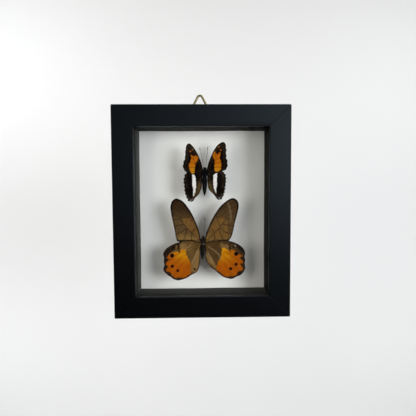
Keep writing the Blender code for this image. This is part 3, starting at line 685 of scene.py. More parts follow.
def white_card():
    case = settings().case
    finish = Finish("white_card")
    clouds = finish.noise(26.0, 3.0)
    tooth = finish.noise(3200.0, 3.0, 0.6)
    colour = finish.mix(finish.spread(clouds, 0.3, 0.75), case.card, scaled(case.card, 0.965))
    colour = finish.mix(finish.spread(tooth, 0.5, 0.8, 0.0, 0.25), colour, scaled(case.card, 0.9))
    rough = finish.spread(tooth, 0.3, 0.7, 0.82, 0.95)
    return finish.use(colour, rough, finish.bump(tooth, 0.012 * MM, 0.6))


def hardboard():
    case = settings().case
    finish = Finish("hardboard")
    fibres = finish.noise(900.0, 5.0, 0.7, finish.stretched(1.0, 1.0, 0.35))
    clouds = finish.noise(60.0, 4.0)
    chips = finish.spread(finish.cells(700.0), 0.12, 0.4)
    colour = finish.mix(finish.spread(clouds, 0.3, 0.7), scaled(case.board, 0.9),
                        scaled(case.board, 1.12))
    colour = finish.mix(finish.spread(fibres, 0.5, 0.75, 0.0, 0.55), colour, scaled(case.board, 1.9))
    colour = finish.mix(finish.times(finish.maths("SUBTRACT", 1.0, chips), 0.4), colour,
                        scaled(case.board, 0.4))
    rough = finish.spread(fibres, 0.3, 0.7, 0.6, 0.85)
    return finish.use(colour, rough, finish.bump(fibres, 0.06 * MM, 0.7))


def clear_glass():
    """Smooth window glass that lets lamps through to what stands behind it."""
    case = settings().case
    finish = Finish("window_glass", Transmission_Weight=1.0, Roughness=0.0, IOR=case.glass_index)
    finish.put(finish.shader.inputs["Base Color"], (0.985, 0.995, 0.99))
    path = finish.add("ShaderNodeLightPath")
    passing = finish.maths("ADD", path.outputs["Is Shadow Ray"], path.outputs["Is Diffuse Ray"])
    open_shader = finish.add("ShaderNodeBsdfTransparent", {"Color": (0.97, 0.985, 0.98)})
    mixed = finish.add("ShaderNodeMixShader",
                       {0: passing, 1: finish.shader.outputs[0], 2: open_shader.outputs[0]})
    output = next(n for n in finish.tree.nodes if n.type == "OUTPUT_MATERIAL")
    finish.put(output.inputs["Surface"], mixed.outputs[0])
    return finish.material


def brass(name, polish=1.0):
    hanger = settings().hanger
    finish = Finish(name, Metallic=1.0)
    tarnish = finish.noise(300.0, 3.0, 0.5)
    scratches = finish.noise(1.0, 3.0, 0.6, finish.stretched(900, 2400, 900))
    colour = finish.mix(finish.spread(tarnish, 0.45, 0.8, 0.0, 0.45), hanger.brass, hanger.worn)
    colour = finish.mix(finish.spread(scratches, 0.6, 0.8, 0.0, 0.15), colour, scaled(hanger.brass, 0.6))
    rough = finish.spread(tarnish, 0.3, 0.8, 0.26 / polish, 0.36)
    return finish.use(colour, rough, finish.bump(scratches, 0.0015 * MM, 0.5))


def steel():
    finish = Finish("tab_steel", Metallic=1.0)
    stains = finish.noise(500.0, 5.0, 0.65)
    rolled = finish.noise(1.0, 3.0, 0.6, finish.stretched(350, 350, 5200))
    colour = finish.mix(finish.spread(stains, 0.35, 0.6), (0.52, 0.52, 0.51), (0.4, 0.39, 0.38))
    colour = finish.mix(finish.spread(stains, 0.66, 0.78, 0.0, 0.6), colour, (0.18, 0.09, 0.045))
    rough = finish.spread(stains, 0.3, 0.7, 0.3, 0.55)
    return finish.use(colour, rough, finish.bump(rolled, 0.008 * MM, 0.6))


def post_plastic():
    finish = Finish("post_plastic", Roughness=0.5)
    clouds = finish.noise(700.0, 3.0)
    colour = finish.mix(finish.spread(clouds, 0.3, 0.7), (0.76, 0.765, 0.76), (0.66, 0.66, 0.645))
    return finish.use(colour, finish.spread(clouds, 0.3, 0.7, 0.4, 0.6), finish.bump(clouds, 0.02 * MM, 0.4))


def stage_wall():
    stage = settings().stage
    finish = Finish("stage_wall")
    soft = finish.noise(3.0, 2.0)
    colour = finish.mix(finish.spread(soft, 0.3, 0.7), stage.wall, scaled(stage.wall, 0.985))
    return finish.use(colour, finish.spread(soft, 0.3, 0.7, 0.85, 0.95))


# ---------------------------------------------------------------- wing finishes

def inside_of(finish, name, soft=0.2, wobble=0.35, scale=900.0, inset=0.0):
    """1 where the named distance says the point is inside, with a slightly ragged edge in millimetres."""
    ragged = finish.spread(finish.noise(scale, 3.0, 0.6), 0.25, 0.75, -wobble - inset, wobble - inset)
    return finish.spread(finish.maths("ADD", finish.attribute(name), ragged), -soft, soft)


def scale_rows(finish, colour, strength=0.3):
    """Rows of tiny scales: light and dark flecks all over the wing."""
    flecks = finish.noise(5200.0, 2.0, 0.7)
    darker = finish.mix(1.0, colour, (1.0 - strength,) * 3, "MULTIPLY")
    return finish.mix(finish.spread(flecks, 0.35, 0.65), darker, colour), flecks


def wing_relief(finish, flecks, folds):
    relief = finish.bump(folds, 0.12 * MM, 0.6)
    return finish.bump(flecks, 0.012 * MM, 0.5, relief)


def dark_forewing():
    """Brown black wing with an orange band that turns yellow towards the body, and pale orange tip spots."""
    specimen = settings().specimen
    finish = Finish("dark_forewing", Specular_IOR_Level=0.06)
    clouds = finish.noise(260.0, 4.0, 0.6)
    colour = finish.mix(finish.spread(clouds, 0.4, 0.72), specimen.dark, scaled(specimen.dark, 2.0))
    outer = finish.over("rim", 3.2, 1.4)
    outer = finish.times(outer, finish.over("rim", 0.5, 1.3))
    outer = finish.times(outer, finish.over("height", 4.0, 18.0, 0.25, 0.7))
    colour = finish.mix(outer, colour, (0.03, 0.02, 0.011))
    height = finish.over("height", -1.0, 8.0)
    band = finish.mix(height, (0.5, 0.235, 0.008), specimen.orange)
    band = finish.mix(finish.spread(clouds, 0.35, 0.75, 0.0, 0.5), band, (0.32, 0.09, 0.004))
    veined = finish.over("vein", 0.42, 0.1, 0.0, 0.8)
    band = finish.mix(veined, band, (0.14, 0.03, 0.003))
    colour = finish.mix(inside_of(finish, "patch", 0.2, 0.5, 520.0), colour, band)
    colour = finish.mix(inside_of(finish, "glow", 0.35, 0.25), colour, (0.42, 0.14, 0.03))
    rim = finish.over("rim", 0.75, 0.35)
    colour = finish.mix(rim, colour, (0.005, 0.004, 0.004))
    colour, flecks = scale_rows(finish, colour)
    rough = finish.spread(flecks, 0.2, 0.8, 0.52, 0.74)
    return finish.use(colour, rough, wing_relief(finish, flecks, finish.attribute("vein")))


def dark_hindwing():
    """Brown black wing with a white band, an olive inner field and paler brown marks along the margin."""
    specimen = settings().specimen
    finish = Finish("dark_hindwing", Specular_IOR_Level=0.06)
    clouds = finish.noise(300.0, 4.0, 0.6)
    colour = finish.mix(finish.spread(clouds, 0.42, 0.72), specimen.dark, scaled(specimen.dark, 2.0))
    outer = finish.times(finish.over("rim", 2.6, 1.5),
                         finish.over("rim", 0.6, 1.2))
    outer = finish.times(outer, finish.spread(finish.noise(650.0, 2.0), 0.42, 0.6))
    colour = finish.mix(finish.times(outer, 0.6), colour, (0.055, 0.036, 0.02))
    olive = finish.mix(finish.spread(clouds, 0.35, 0.7), (0.055, 0.032, 0.01), (0.088, 0.05, 0.02))
    lower = finish.over("height", -3.0, -9.0, 0.2, 1.0)
    colour = finish.mix(finish.times(inside_of(finish, "tan", 1.0), lower), colour, olive)
    white = finish.mix(finish.spread(clouds, 0.35, 0.75, 0.0, 0.5), specimen.white, (0.6, 0.545, 0.57))
    white = finish.mix(finish.over("vein", 0.3, 0.08, 0.0, 0.3), white, (0.3, 0.26, 0.27))
    colour = finish.mix(inside_of(finish, "patch", inset=0.25), colour, white)
    colour = finish.mix(inside_of(finish, "fleck", 0.3), colour, (0.2, 0.022, 0.016))
    colour = finish.mix(inside_of(finish, "glow", 0.2, 0.25), colour, (0.36, 0.32, 0.3))
    rim = finish.over("rim", 0.6, 0.25)
    colour = finish.mix(rim, colour, (0.005, 0.004, 0.004))
    colour, flecks = scale_rows(finish, colour)
    rough = finish.spread(flecks, 0.2, 0.8, 0.52, 0.74)
    return finish.use(colour, rough, wing_relief(finish, flecks, finish.attribute("vein")))


def brown_forewing():
    """Thin brown wing, amber over the cell and grey brown towards the tip, with dark veins and a dark rim."""
    specimen = settings().specimen
    finish = Finish("brown_forewing", Specular_IOR_Level=0.1)
    clouds = finish.noise(150.0, 4.0, 0.6)
    colour = finish.mix(finish.spread(clouds, 0.35, 0.7), specimen.brown, scaled(specimen.brown, 0.72))
    # Painted light: the darkening towards the tip is scaled by the wing's painted side light, so the right
    # tip is painted lighter.
    tip = finish.times(finish.over("height", 13.0, 27.0), finish.attribute("painted_side_light"))
    colour = finish.mix(finish.times(tip, 0.9), colour, (0.026, 0.0105, 0.004))
    low = finish.over("height", 9.0, 2.0)
    colour = finish.mix(finish.times(low, 0.8), colour, (0.225, 0.13, 0.038))
    speckle = finish.spread(finish.noise(240.0, 4.0, 0.65), 0.35, 0.7)
    amber = finish.mix(speckle, specimen.amber, (0.13, 0.07, 0.022))
    colour = finish.mix(inside_of(finish, "patch", 1.7, 1.0, 420.0), colour, amber)
    mottle = finish.spread(finish.noise(620.0, 4.0, 0.7), 0.4, 0.66)
    colour = finish.mix(finish.times(mottle, 0.45), colour, (0.04, 0.022, 0.01))
    folds = finish.noise(1.0, 3.0, 0.6, finish.stretched(420, 420, 90))
    colour = finish.mix(finish.spread(folds, 0.55, 0.8, 0.0, 0.35), colour, (0.042, 0.026, 0.015))
    colour = finish.mix(finish.over("pale", 1.2, 0.1, 0.0, 0.42), colour, (0.2, 0.15, 0.085))
    colour = finish.mix(finish.over("line", 0.6, 0.1, 0.0, 0.65), colour, (0.04, 0.018, 0.012))
    faint = finish.over("height", 15.0, 22.0, 0.72, 0.4)
    veined = finish.times(finish.over("vein", 0.5, 0.14), faint)
    colour = finish.mix(veined, colour, (0.014, 0.006, 0.003))
    ragged = finish.spread(finish.noise(500.0, 2.0), 0.3, 0.7, -0.25, 0.25)
    wide = finish.maths("ADD", finish.maths("ADD", finish.attribute("rim"), ragged), finish.times(tip, -0.7))
    colour = finish.mix(finish.spread(wide, 1.25, 0.4), colour, (0.007, 0.004, 0.003))
    colour, flecks = scale_rows(finish, colour, 0.22)
    rough = finish.spread(flecks, 0.2, 0.8, 0.42, 0.66)
    return finish.use(colour, rough, wing_relief(finish, flecks, folds))


def orange_hindwing():
    """Brown root with fanned folds, an orange outer field with black spots, and a ragged dark margin."""
    specimen = settings().specimen
    finish = Finish("orange_hindwing", Specular_IOR_Level=0.08)
    clouds = finish.noise(170.0, 4.0, 0.6)
    fan = finish.attribute("fan")
    root = finish.mix(finish.spread(clouds, 0.35, 0.7), (0.145, 0.079, 0.024), (0.074, 0.038, 0.01))
    # Painted shade: the root is darkened by one minus the painted side light, so the right root is painted
    # darker.
    root = finish.mix(finish.maths("SUBTRACT", 1.0, finish.attribute("painted_side_light")), root, (0.045, 0.022, 0.006))
    root = finish.mix(finish.spread(fan, 0.45, 0.95, 0.0, 0.5), root, (0.045, 0.027, 0.013))
    root = finish.mix(finish.times(inside_of(finish, "tan", 1.8, 1.1, 400.0), 0.72), root, specimen.tan)
    high = finish.over("height", -19.0, -6.5)
    near = finish.over("out", 26.0, 14.0)
    yellow = finish.times(high, near)
    field = finish.mix(yellow, specimen.field, (0.57, 0.255, 0.003))
    field = finish.mix(finish.spread(clouds, 0.4, 0.75, 0.0, 0.6), field, (0.25, 0.052, 0.001))
    field = finish.mix(finish.spread(fan, 0.5, 1.0, 0.0, 0.4), field, (0.24, 0.05, 0.001))
    colour = finish.mix(inside_of(finish, "patch", 0.45, 0.4, 500.0), root, field)
    dark = finish.mix(finish.spread(clouds, 0.4, 0.7), (0.012, 0.006, 0.004), (0.03, 0.017, 0.009))
    rim_distance = finish.attribute("rim")
    ragged = finish.spread(finish.noise(420.0, 3.0), 0.3, 0.7, -0.5, 0.5)
    rim = finish.spread(finish.maths("ADD", rim_distance, ragged), 1.3, 0.7)
    low_rim = finish.over("out", 4.0, 12.0)
    colour = finish.mix(finish.times(rim, low_rim), colour, dark)
    notch = finish.times(finish.over("patch", 0.1, -0.4),
                         finish.times(finish.spread(rim_distance, 4.6, 2.6),
                                      finish.over("out", 23.0, 26.5)))
    colour = finish.mix(notch, colour, dark)
    colour = finish.mix(inside_of(finish, "dark", 0.5, 0.4, 500.0), colour, dark)
    colour = finish.mix(finish.spread(rim_distance, 0.8, 0.25), colour, (0.008, 0.005, 0.004))
    veined = finish.over("vein", 0.26, 0.06, 0.0, 0.4)
    colour = finish.mix(veined, colour, finish.mix(0.6, colour, (0.03, 0.012, 0.005)))
    colour = finish.mix(finish.over("line", 0.4, 0.1, 0.0, 0.6), colour, (0.05, 0.025, 0.012))
    colour = finish.mix(finish.over("crease", 0.7, 0.1, 0.0, 0.55), colour, (0.26, 0.17, 0.09))
    colour = finish.mix(inside_of(finish, "spots", 0.2, 0.15), colour, (0.003, 0.002, 0.002))
    colour = finish.mix(inside_of(finish, "glow", 0.25, 0.1), colour, (0.17, 0.14, 0.12))
    colour, flecks = scale_rows(finish, colour, 0.2)
    rough = finish.spread(flecks, 0.2, 0.8, 0.45, 0.68)
    return finish.use(colour, rough, wing_relief(finish, flecks, fan))


def insect_body(name, hair, shine):
    """Hard dark shell with a blue grey bloom between the rings; hairs are paler towards their tips."""
    finish = Finish(name, Specular_IOR_Level=0.03)
    clouds = finish.noise(500.0, 4.0, 0.6)
    fine = finish.noise(4200.0, 2.0)
    shell = finish.mix(finish.spread(clouds, 0.35, 0.7), scaled(shine, 0.3), shine)
    shell = finish.mix(finish.over("joint", 0.35, 0.9, 0.0, 0.6), shell, (0.013, 0.012, 0.012))
    tuft = finish.mix(finish.attribute("hair"), scaled(hair, 0.4), scaled(hair, 2.2))
    bloom = finish.spread(finish.noise(1300.0, 3.0), 0.54, 0.68, 0.0, 0.7)
    shell = finish.mix(bloom, shell, (0.017, 0.017, 0.022))
    colour = finish.mix(finish.over("hair", 0.0, 0.05), shell, tuft)
    colour = finish.mix(finish.attribute("pale"), colour, (0.17, 0.14, 0.115))
    colour = finish.mix(finish.attribute("eye"), colour, (0.022, 0.013, 0.009))
    rough = finish.mix(finish.attribute("eye"), finish.spread(fine, 0.3, 0.7, 0.42, 0.62), (0.2, 0.2, 0.2))
    facets = finish.times(finish.cells(9000.0), finish.attribute("eye"))
    relief = finish.bump(finish.maths("ADD", finish.times(fine, 0.4), facets), 0.02 * MM, 0.5)
    return finish.use(colour, rough, relief)


def antenna_finish():
    finish = Finish("antenna")
    rings = finish.attribute("joint")
    fine = finish.noise(3800.0, 3.0)
    colour = finish.mix(finish.spread(rings, 0.2, 0.8), (0.05, 0.046, 0.043), (0.15, 0.145, 0.14))
    colour = finish.mix(finish.attribute("club"), colour, (0.02, 0.017, 0.015))
    return finish.use(colour, finish.spread(fine, 0.3, 0.7, 0.5, 0.7), finish.bump(fine, 0.008 * MM, 0.5))


# ---------------------------------------------------------------- case

def make_bar(node, along, inward):
    """A moulding: a slab for the lip, drawn back outside the rabbet, mitred at both ends and eased."""
    case = settings().case
    low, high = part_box(node)
    glass_low, glass_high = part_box("front_glass")
    lip_back = glass_low.y - GAP
    outer = CASE_LOW if inward.dot(X + Z) > 0 else CASE_HIGH
    rabbet = Vector((glass_low if outer is CASE_LOW else glass_high)) - inward * GAP
    bar = add_block(node + "_moulding", low, Vector((high.x, lip_back, high.z)))
    edit(bar)
    slice_through(rabbet, inward)
    pick_faces(bar, lambda middle, normal: normal.y > 0.9 and (middle - rabbet).dot(inward) < 0)
    bpy.ops.mesh.extrude_region_move(TRANSFORM_OT_translate={"value": (0, high.y - lip_back, 0)})
    for side in (-1, 1):
        corner = outer.copy()
        far = CASE_HIGH if side > 0 else CASE_LOW
        corner = corner + along * (far - corner).dot(along)
        through = (along * side + inward).normalized()
        slice_through(corner - through * case.joint / 2, through, True)
        tip = (along * side - inward).normalized()
        slice_through(corner - tip * 0.3 * MM, tip, True)
    leave()
    weigh_edges(bar, along, inward, outer)
    apply_modifier(bar, "BEVEL", width=case.eased, segments=3, limit_method="WEIGHT")
    points = points_of(bar)
    write_attribute(bar, "rubbed", rubbed_edges(points, inward, outer))
    across = (points - np.array(outer)) @ np.array(inward)
    write_attribute(bar, "rabbet", across > across.max() - 0.3 * MM)
    smooth_flats(bar)
    return bar


def weigh_edges(bar, along, inward, outer):
    """Long edges get the whole rounding, those at the glass half, and the mitres a hair line."""
    mesh = bar.data
    weights = mesh.attributes.new("bevel_weight_edge", "FLOAT", "EDGE")
    glass_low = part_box("front_glass")[0]
    for edge in mesh.edges:
        a, b = (mesh.vertices[v].co for v in edge.vertices)
        middle = (a + b) / 2
        straight = abs((b - a).normalized().dot(along)) > 0.99
        across = (middle - outer).dot(inward)
        if not straight:
            value = 0.06 if abs(a.y - b.y) > GAP else 0.28
        elif middle.y < CASE_LOW.y + GAP or across < GAP:
            value = 1.0
        elif middle.y < glass_low.y:
            value = 0.4
        else:
            value = 0.25
        weights.data[edge.index].value = value


def rubbed_edges(points, inward, outer):
    """1 on the crown of each long outer edge and 0 on the flats."""
    eased = settings().case.eased
    across = (points - np.array(outer)) @ np.array(inward)
    nearest = np.full(len(points), 1.0)
    width = across.max()
    for side, depth in ((0.0, CASE_LOW.y), (width, CASE_LOW.y), (0.0, CASE_HIGH.y)):
        nearest = np.minimum(nearest, np.hypot(across - side, points[:, 1] - depth))
    return np.clip((0.8 - nearest / eased) / 0.16, 0.0, 1.0)


class BuildFrame(bpy.types.Operator):
    """Builds the four mitred bars of the black frame"""

    bl_idname = "butterflies.frame"
    bl_label = "Frame"

    def execute(self, context):
        finishes = {"level": painted_wood(X), "upright": painted_wood(Z)}
        for node, (along, inward) in BARS.items():
            bar = make_bar(node, along, inward)
            finish_piece(bar, "case", "frame_black", finishes["level" if along == X else "upright"], node)
        return {"FINISHED"}


class BuildGlass(bpy.types.Operator):
    """Builds the pane with its ground edges"""

    bl_idname = "butterflies.glass"
    bl_label = "Glass"

    def execute(self, context):
        pane = add_block("glass_pane", *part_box("front_glass"))
        bevel_all(pane, 0.25 * MM, 2)
        smooth_flats(pane, 20.0)
        finish_piece(pane, "case", "clear_glass", clear_glass(), "front_glass")
        return {"FINISHED"}


class BuildLining(bpy.types.Operator):
    """Builds the black strips between the glass and the card"""

    bl_idname = "butterflies.lining"
    bl_label = "Lining strips"

    def execute(self, context):
        chance = random.Random(11)
        for word, along in (("top", X), ("left", Z), ("bottom", X), ("right", Z)):
            low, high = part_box("spacer_" + word)
            strip = add_block("lining_strip_" + word, low, high)
            edit(strip)
            for share in np.linspace(0.04, 0.96, 24):
                slice_through(low + along * (high - low).dot(along) * share, along)
            leave()
            inward = -Z if word == "top" else Z if word == "bottom" else X if word == "left" else -X
            points = points_of(strip)
            inner = (points - np.array(low + high) / 2) @ np.array(inward) > 0
            run = points @ np.array(along)
            phase = chance.uniform(0, 6)
            bow = 0.07 * MM * (np.sin(run * 70 + phase) + 0.6 * np.sin(run * 190 + 2 * phase))
            bow += (0.55 if word == "left" else -0.08) * MM
            move_points(strip, points + np.outer(bow * inner, np.array(inward)))
            bevel_all(strip, 0.15 * MM, 2)
            smooth_flats(strip)
            finish_piece(strip, "case", "spacer_black", lining_paper(word, along), "spacer_" + word)
        return {"FINISHED"}


class BuildCard(bpy.types.Operator):
    """Builds the white card that the specimens stand in front of"""

    bl_idname = "butterflies.card"
    bl_label = "Card"

    def execute(self, context):
        card = add_block("mount_card", *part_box("backing_card"))
        bevel_all(card, 0.2 * MM, 2)
        smooth_flats(card)
        finish_piece(card, "case", "card_white", white_card(), "backing_card")
        return {"FINISHED"}


class BuildBack(bpy.types.Operator):
    """Builds the hardboard back and the steel points that hold it"""

    bl_idname = "butterflies.back"
    bl_label = "Back panel and tabs"

    def execute(self, context):
        panel = add_block("hardboard_back", *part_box("back_panel"))
        bevel_all(panel, 0.35 * MM, 2)
        smooth_flats(panel)
        finish_piece(panel, "case", "hardboard", hardboard(), "back_panel")
        metal = steel()
        for number in range(1, 5):
            tab = make_tab(number)
            finish_piece(tab, "case", "tab_steel", metal, f"retaining_tab_{number}")
        return {"FINISHED"}


def make_tab(number):
    """A flat point: its outer end is drawn to a tip, and its free end is lifted a little off the panel."""
    low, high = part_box(f"retaining_tab_{number}")
    tab = add_block(f"glazing_point_{number}", low, high)
    side = 1 if (low.x + high.x) / 2 > CASE_MIDDLE.x else -1
    half = (high.z - low.z) / 2
    middle = (low + high) / 2
    tip = high.x if side > 0 else low.x
    edit(tab)
    for step in (0.25, 0.5, 0.75):
        slice_through(low + (high - low) * step, X)
    slice_through(Vector((tip - side * half, 0, 0)), X)
    slice_through(middle, Z)
    leave()
    points = points_of(tab)
    run = np.clip((points[:, 0] * side - (tip * side - half)) / half, 0, 1)
    points[:, 2] = middle.z + (points[:, 2] - middle.z) * (1 - 0.97 * run)
    free = np.clip(((tip - points[:, 0]) * side - 2.2 * half) / (2.2 * half), 0, 1)
    points[:, 1] += 0.5 * MM * free ** 2
    move_points(tab, points)
    bevel_all(tab, 0.07 * MM, 2)
    smooth_flats(tab)
    return tab


# ---------------------------------------------------------------- hanger

def rounded_corner(corner, before, after, radius, steps):
    """Points of an arc of this radius that rounds the corner between two straight runs."""
    to_before = (before - corner).normalized()
    to_after = (after - corner).normalized()
    half = to_before.angle(to_after) / 2
    middle = corner + (to_before + to_after).normalized() * radius / math.sin(half)
    first = corner + to_before * radius / math.tan(half) - middle
    last = corner + to_after * radius / math.tan(half) - middle
    axis = first.cross(last).normalized()
    sweep = first.angle(last)
    return [middle + Matrix.Rotation(sweep * k / steps, 3, axis) @ first for k in range(steps + 1)]


class BuildRing(bpy.types.Operator):
    """Builds the triangular wire ring that hangs on the nail"""

    bl_idname = "butterflies.ring"
    bl_label = "Ring"

    def execute(self, context):
        hanger = settings().hanger
        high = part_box("hanger_ring")[1]
        wire = hanger.wire
        lean = math.radians(26.2)
        peak_radius = 2.1 * MM
        low_radius = 2.4 * MM
        half_base = 10.4 * MM
        peak = Vector((0, 0, high.z - wire + peak_radius * (1 / math.sin(lean) - 1)))
        left = Vector((-half_base, 0, PIVOT.z))
        right = Vector((half_base, 0, PIVOT.z))
        line = rounded_corner(left, right, peak, low_radius, 14)
        line += rounded_corner(peak, left, right, peak_radius, 20)
        line += rounded_corner(right, peak, left, low_radius, 14)
        ring = line_to_rod("wire_ring", line, wire, closed=True, fineness=7)
        make_normals_outward(ring)
        smooth(ring, 60.0)
        finish_piece(ring, "ring", "hanger_brass", brass("ring_brass", 1.3), "hanger_ring")
        return {"FINISHED"}


class BuildStrap(bpy.types.Operator):
    """Builds the strap folded round the ring's lower bar"""

    bl_idname = "butterflies.strap"
    bl_label = "Strap"

    def execute(self, context):
        hanger = settings().hanger
        low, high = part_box("hanger_strap")
        screw_low, screw_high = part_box("hanger_screw")
        inner = hanger.wire + GAP
        second = -inner + GAP
        leaves = math.radians(-50)
        path = [Vector((0, -inner, low.z - PIVOT.z))]
        path += [Vector((0, -inner, (low.z - PIVOT.z) * share)) for share in (0.6, 0.3)]
        turn = [math.pi + (leaves - math.pi) * k / 28 for k in range(29)]
        path += [Vector((0, inner * math.cos(a), inner * math.sin(a))) for a in turn]
        path += [Vector((0, second + 0.08 * MM, -2.9 * MM)), Vector((0, second, -3.7 * MM))]
        path += [Vector((0, second, low.z - PIVOT.z))]
        deselect_all()
        bpy.ops.mesh.primitive_plane_add(size=1.0)
        strap = named(bpy.context.object, "hanger_loop_strap")
        lay_strip(strap, [point + PIVOT for point in path], high.x - low.x)
        apply_modifier(strap, "SOLIDIFY", thickness=hanger.sheet, offset=-1.0, use_even_offset=True)
        make_normals_outward(strap)
        hole = add_rod("strap_hole", screw_hole_radius(), 0.02,
                       Vector((0, 0, (screw_low.z + screw_high.z) / 2)), Y, 40)
        cut_away(strap, hole)
        bevel_all(strap, 0.16 * MM, 2, 40.0)
        smooth(strap)
        finish_piece(strap, "case", "hanger_brass", brass("strap_brass"), "hanger_strap")
        return {"FINISHED"}


def lay_strip(strip, path, width):
    """Starts from one edge across the path, and draws it along point by point."""
    take(strip)
    bpy.ops.object.mode_set(mode="EDIT")
    bpy.ops.mesh.select_all(action="SELECT")
    bpy.ops.mesh.delete(type="VERT")
    leave()
    mesh = strip.data
    mesh.vertices.add(2)
    mesh.vertices[0].co = path[0] - X * width / 2
    mesh.vertices[1].co = path[0] + X * width / 2
    mesh.edges.add(1)
    mesh.edges[0].vertices = (0, 1)
    mesh.update()
    take(strip)
    bpy.ops.object.mode_set(mode="EDIT")
    bpy.ops.mesh.select_mode(type="EDGE")
    bpy.ops.mesh.select_all(action="SELECT")
    for before, after in zip(path, path[1:]):
        bpy.ops.mesh.extrude_region_move(TRANSFORM_OT_translate={"value": after - before})
    leave()


def screw_hole_radius():
    return SHANK + GAP


class BuildScrew(bpy.types.Operator):
    """Builds the slotted screw that fixes the strap"""

    bl_idname = "butterflies.screw"
    bl_label = "Screw"

    def execute(self, context):
        low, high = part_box("hanger_screw")
        head = (high.z - low.z) / 2
        middle = (low + high) / 2
        seat = high.y - 1.5 * MM
        first_turn = 1.2 * MM
        plain = 2.6 * MM
        profile = [(1.5, 0.0), (1.47, 0.35), (1.35, 0.62), (1.1, 0.84), (0.72, 0.97), (0.35, 1.0),
                   (0.06, 1.0)]
        points = [Vector((r * head, seat + h * MM, 0)) for h, r in profile]
        points += [Vector((0.94 * head, seat, 0)), Vector((SHANK, seat, 0))]
        length = seat - low.y
        turns = 9
        for k in range(turns):
            at = seat - first_turn - (length - plain) * k / turns
            slope = 1.0 if k < turns - 2 else 0.75
            points += [Vector((SHANK * 0.78 * slope, at, 0)), Vector((SHANK * slope, at - 0.3 * MM, 0)),
                       Vector((SHANK * 0.78 * slope, at - 0.5 * MM, 0))]
        points.append(Vector((0, low.y, 0)))
        screw = turn_profile("round_head_screw", points, Vector((0, 0, 0)), Y, 40)
        screw.location = Vector((middle.x, 0, middle.z))
        settle(screw)
        slot_low = Vector((middle.x - 1.2 * head, high.y - 0.75 * MM, middle.z - 0.36 * MM))
        slot_high = Vector((middle.x + 1.2 * head, high.y + 1.0 * MM, middle.z + 0.36 * MM))
        slot = add_block("screw_slot", slot_low, slot_high)
        slot.rotation_euler = (0, math.radians(28), 0)
        slot.location = middle - Matrix.Rotation(math.radians(28), 3, "Y") @ middle
        cut_away(screw, slot)
        bevel_all(screw, 0.05 * MM, 2, 50.0)
        smooth(screw)
        finish_piece(screw, "case", "hanger_brass", brass("screw_brass"), "hanger_screw")
        return {"FINISHED"}


def turn_profile(name, points, centre, axis, steps):
    """Spins an open profile round an axis, as on a lathe, and closes it."""
    mesh = bpy.data.meshes.new(name)
    mesh.from_pydata(points, [(i, i + 1) for i in range(len(points) - 1)], [])
    piece = bpy.data.objects.new(name, mesh)
    bpy.context.scene.collection.objects.link(piece)
    take(piece)
    bpy.ops.object.mode_set(mode="EDIT")
    bpy.ops.mesh.select_mode(type="VERT")
    bpy.ops.mesh.select_all(action="SELECT")
    bpy.ops.mesh.spin(steps=steps, angle=2 * math.pi, center=centre, axis=axis)
    bpy.ops.mesh.select_all(action="SELECT")
    bpy.ops.mesh.remove_doubles(threshold=0.004 * MM)
    bpy.ops.mesh.normals_make_consistent(inside=False)
    leave()
    return piece


# ---------------------------------------------------------------- butterflies

def thorax_middle(word):
    """Where a butterfly's plan starts: the post stands behind the middle of its thorax."""
    low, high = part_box(word + "_post")
    return Vector(((low.x + high.x) / 2, 0, (low.z + high.z) / 2))


def distance_to_lines(points, lines):
    """Shortest distance of each point to any of the lines, each a list of joined straight pieces."""
    best = np.full(len(points), 9.0)
    for line in lines:
        line = np.array([tuple(point)[:2] for point in line])
        for a, b in zip(line[:-1], line[1:]):
            run = b - a
            share = np.clip(((points - a) @ run) / max(run @ run, 1e-9), 0, 1)
            best = np.minimum(best, np.hypot(*(points - a - share[:, None] * run).T))
    return best


def is_inside(points, outline):
    """Even-odd test of each point against a closed outline."""
    ring = np.array([tuple(point)[:2] for point in outline])
    inside = np.zeros(len(points), bool)
    for a, b in zip(ring, np.roll(ring, -1, 0)):
        crosses = (a[1] > points[:, 1]) != (b[1] > points[:, 1])
        rise = (b[1] - a[1]) or 1e-9
        inside ^= crosses & (points[:, 0] < a[0] + (points[:, 1] - a[1]) * (b[0] - a[0]) / rise)
    return inside


def depth_inside(points, outlines):
    """Distance to the nearest outline, more than 0 inside one and less than 0 outside all."""
    best = np.full(len(points), -9.0)
    for outline in outlines:
        near = distance_to_lines(points, [list(outline) + [outline[0]]])
        best = np.maximum(best, np.where(is_inside(points, outline), near, -near))
    return best


def depth_in_spots(points, spots):
    best = np.full(len(points), -9.0)
    for x, z, radius in spots:
        best = np.maximum(best, radius - np.hypot(points[:, 0] - x, points[:, 1] - z))
    return best


def scalloped(line, start, end, count, depth):
    """Pushes the margin between two points in and out in round scallops of one length."""
    flat = np.array([tuple(point)[:2] for point in line])
    first = int(np.argmin(np.hypot(*(flat - start).T)))
    last = int(np.argmin(np.hypot(*(flat - end).T)))
    if first > last:
        first, last = last, first
    margin = flat[first:last + 1]
    run = np.concatenate([[0.0], np.cumsum(np.hypot(*np.diff(margin, axis=0).T))])
    even = np.linspace(0.0, run[-1], count * 8 + 1)
    margin = np.column_stack([np.interp(even, run, margin[:, k]) for k in (0, 1)])
    ahead = np.gradient(margin, axis=0)
    outward = np.column_stack([ahead[:, 1], -ahead[:, 0]]) / np.hypot(*ahead.T)[:, None]
    if ((margin - flat.mean(0)) * outward).sum() < 0:
        outward = -outward
    wave = depth * (np.abs(np.sin(np.linspace(0.0, math.pi * count, count * 8 + 1))) - 0.6)
    margin = margin + outward * wave[:, None]
    return [Vector(point) for point in np.vstack([flat[:first], margin, flat[last + 1:]])]


def stop_at_margin(line, outline):
    """The part of a line from its start to where it leaves the outline."""
    kept = []
    inside = is_inside(np.array([tuple(point)[:2] for point in line]), outline)
    for point, within in zip(line, inside):
        if not within and kept:
            break
        if within:
            kept.append(point)
    return kept


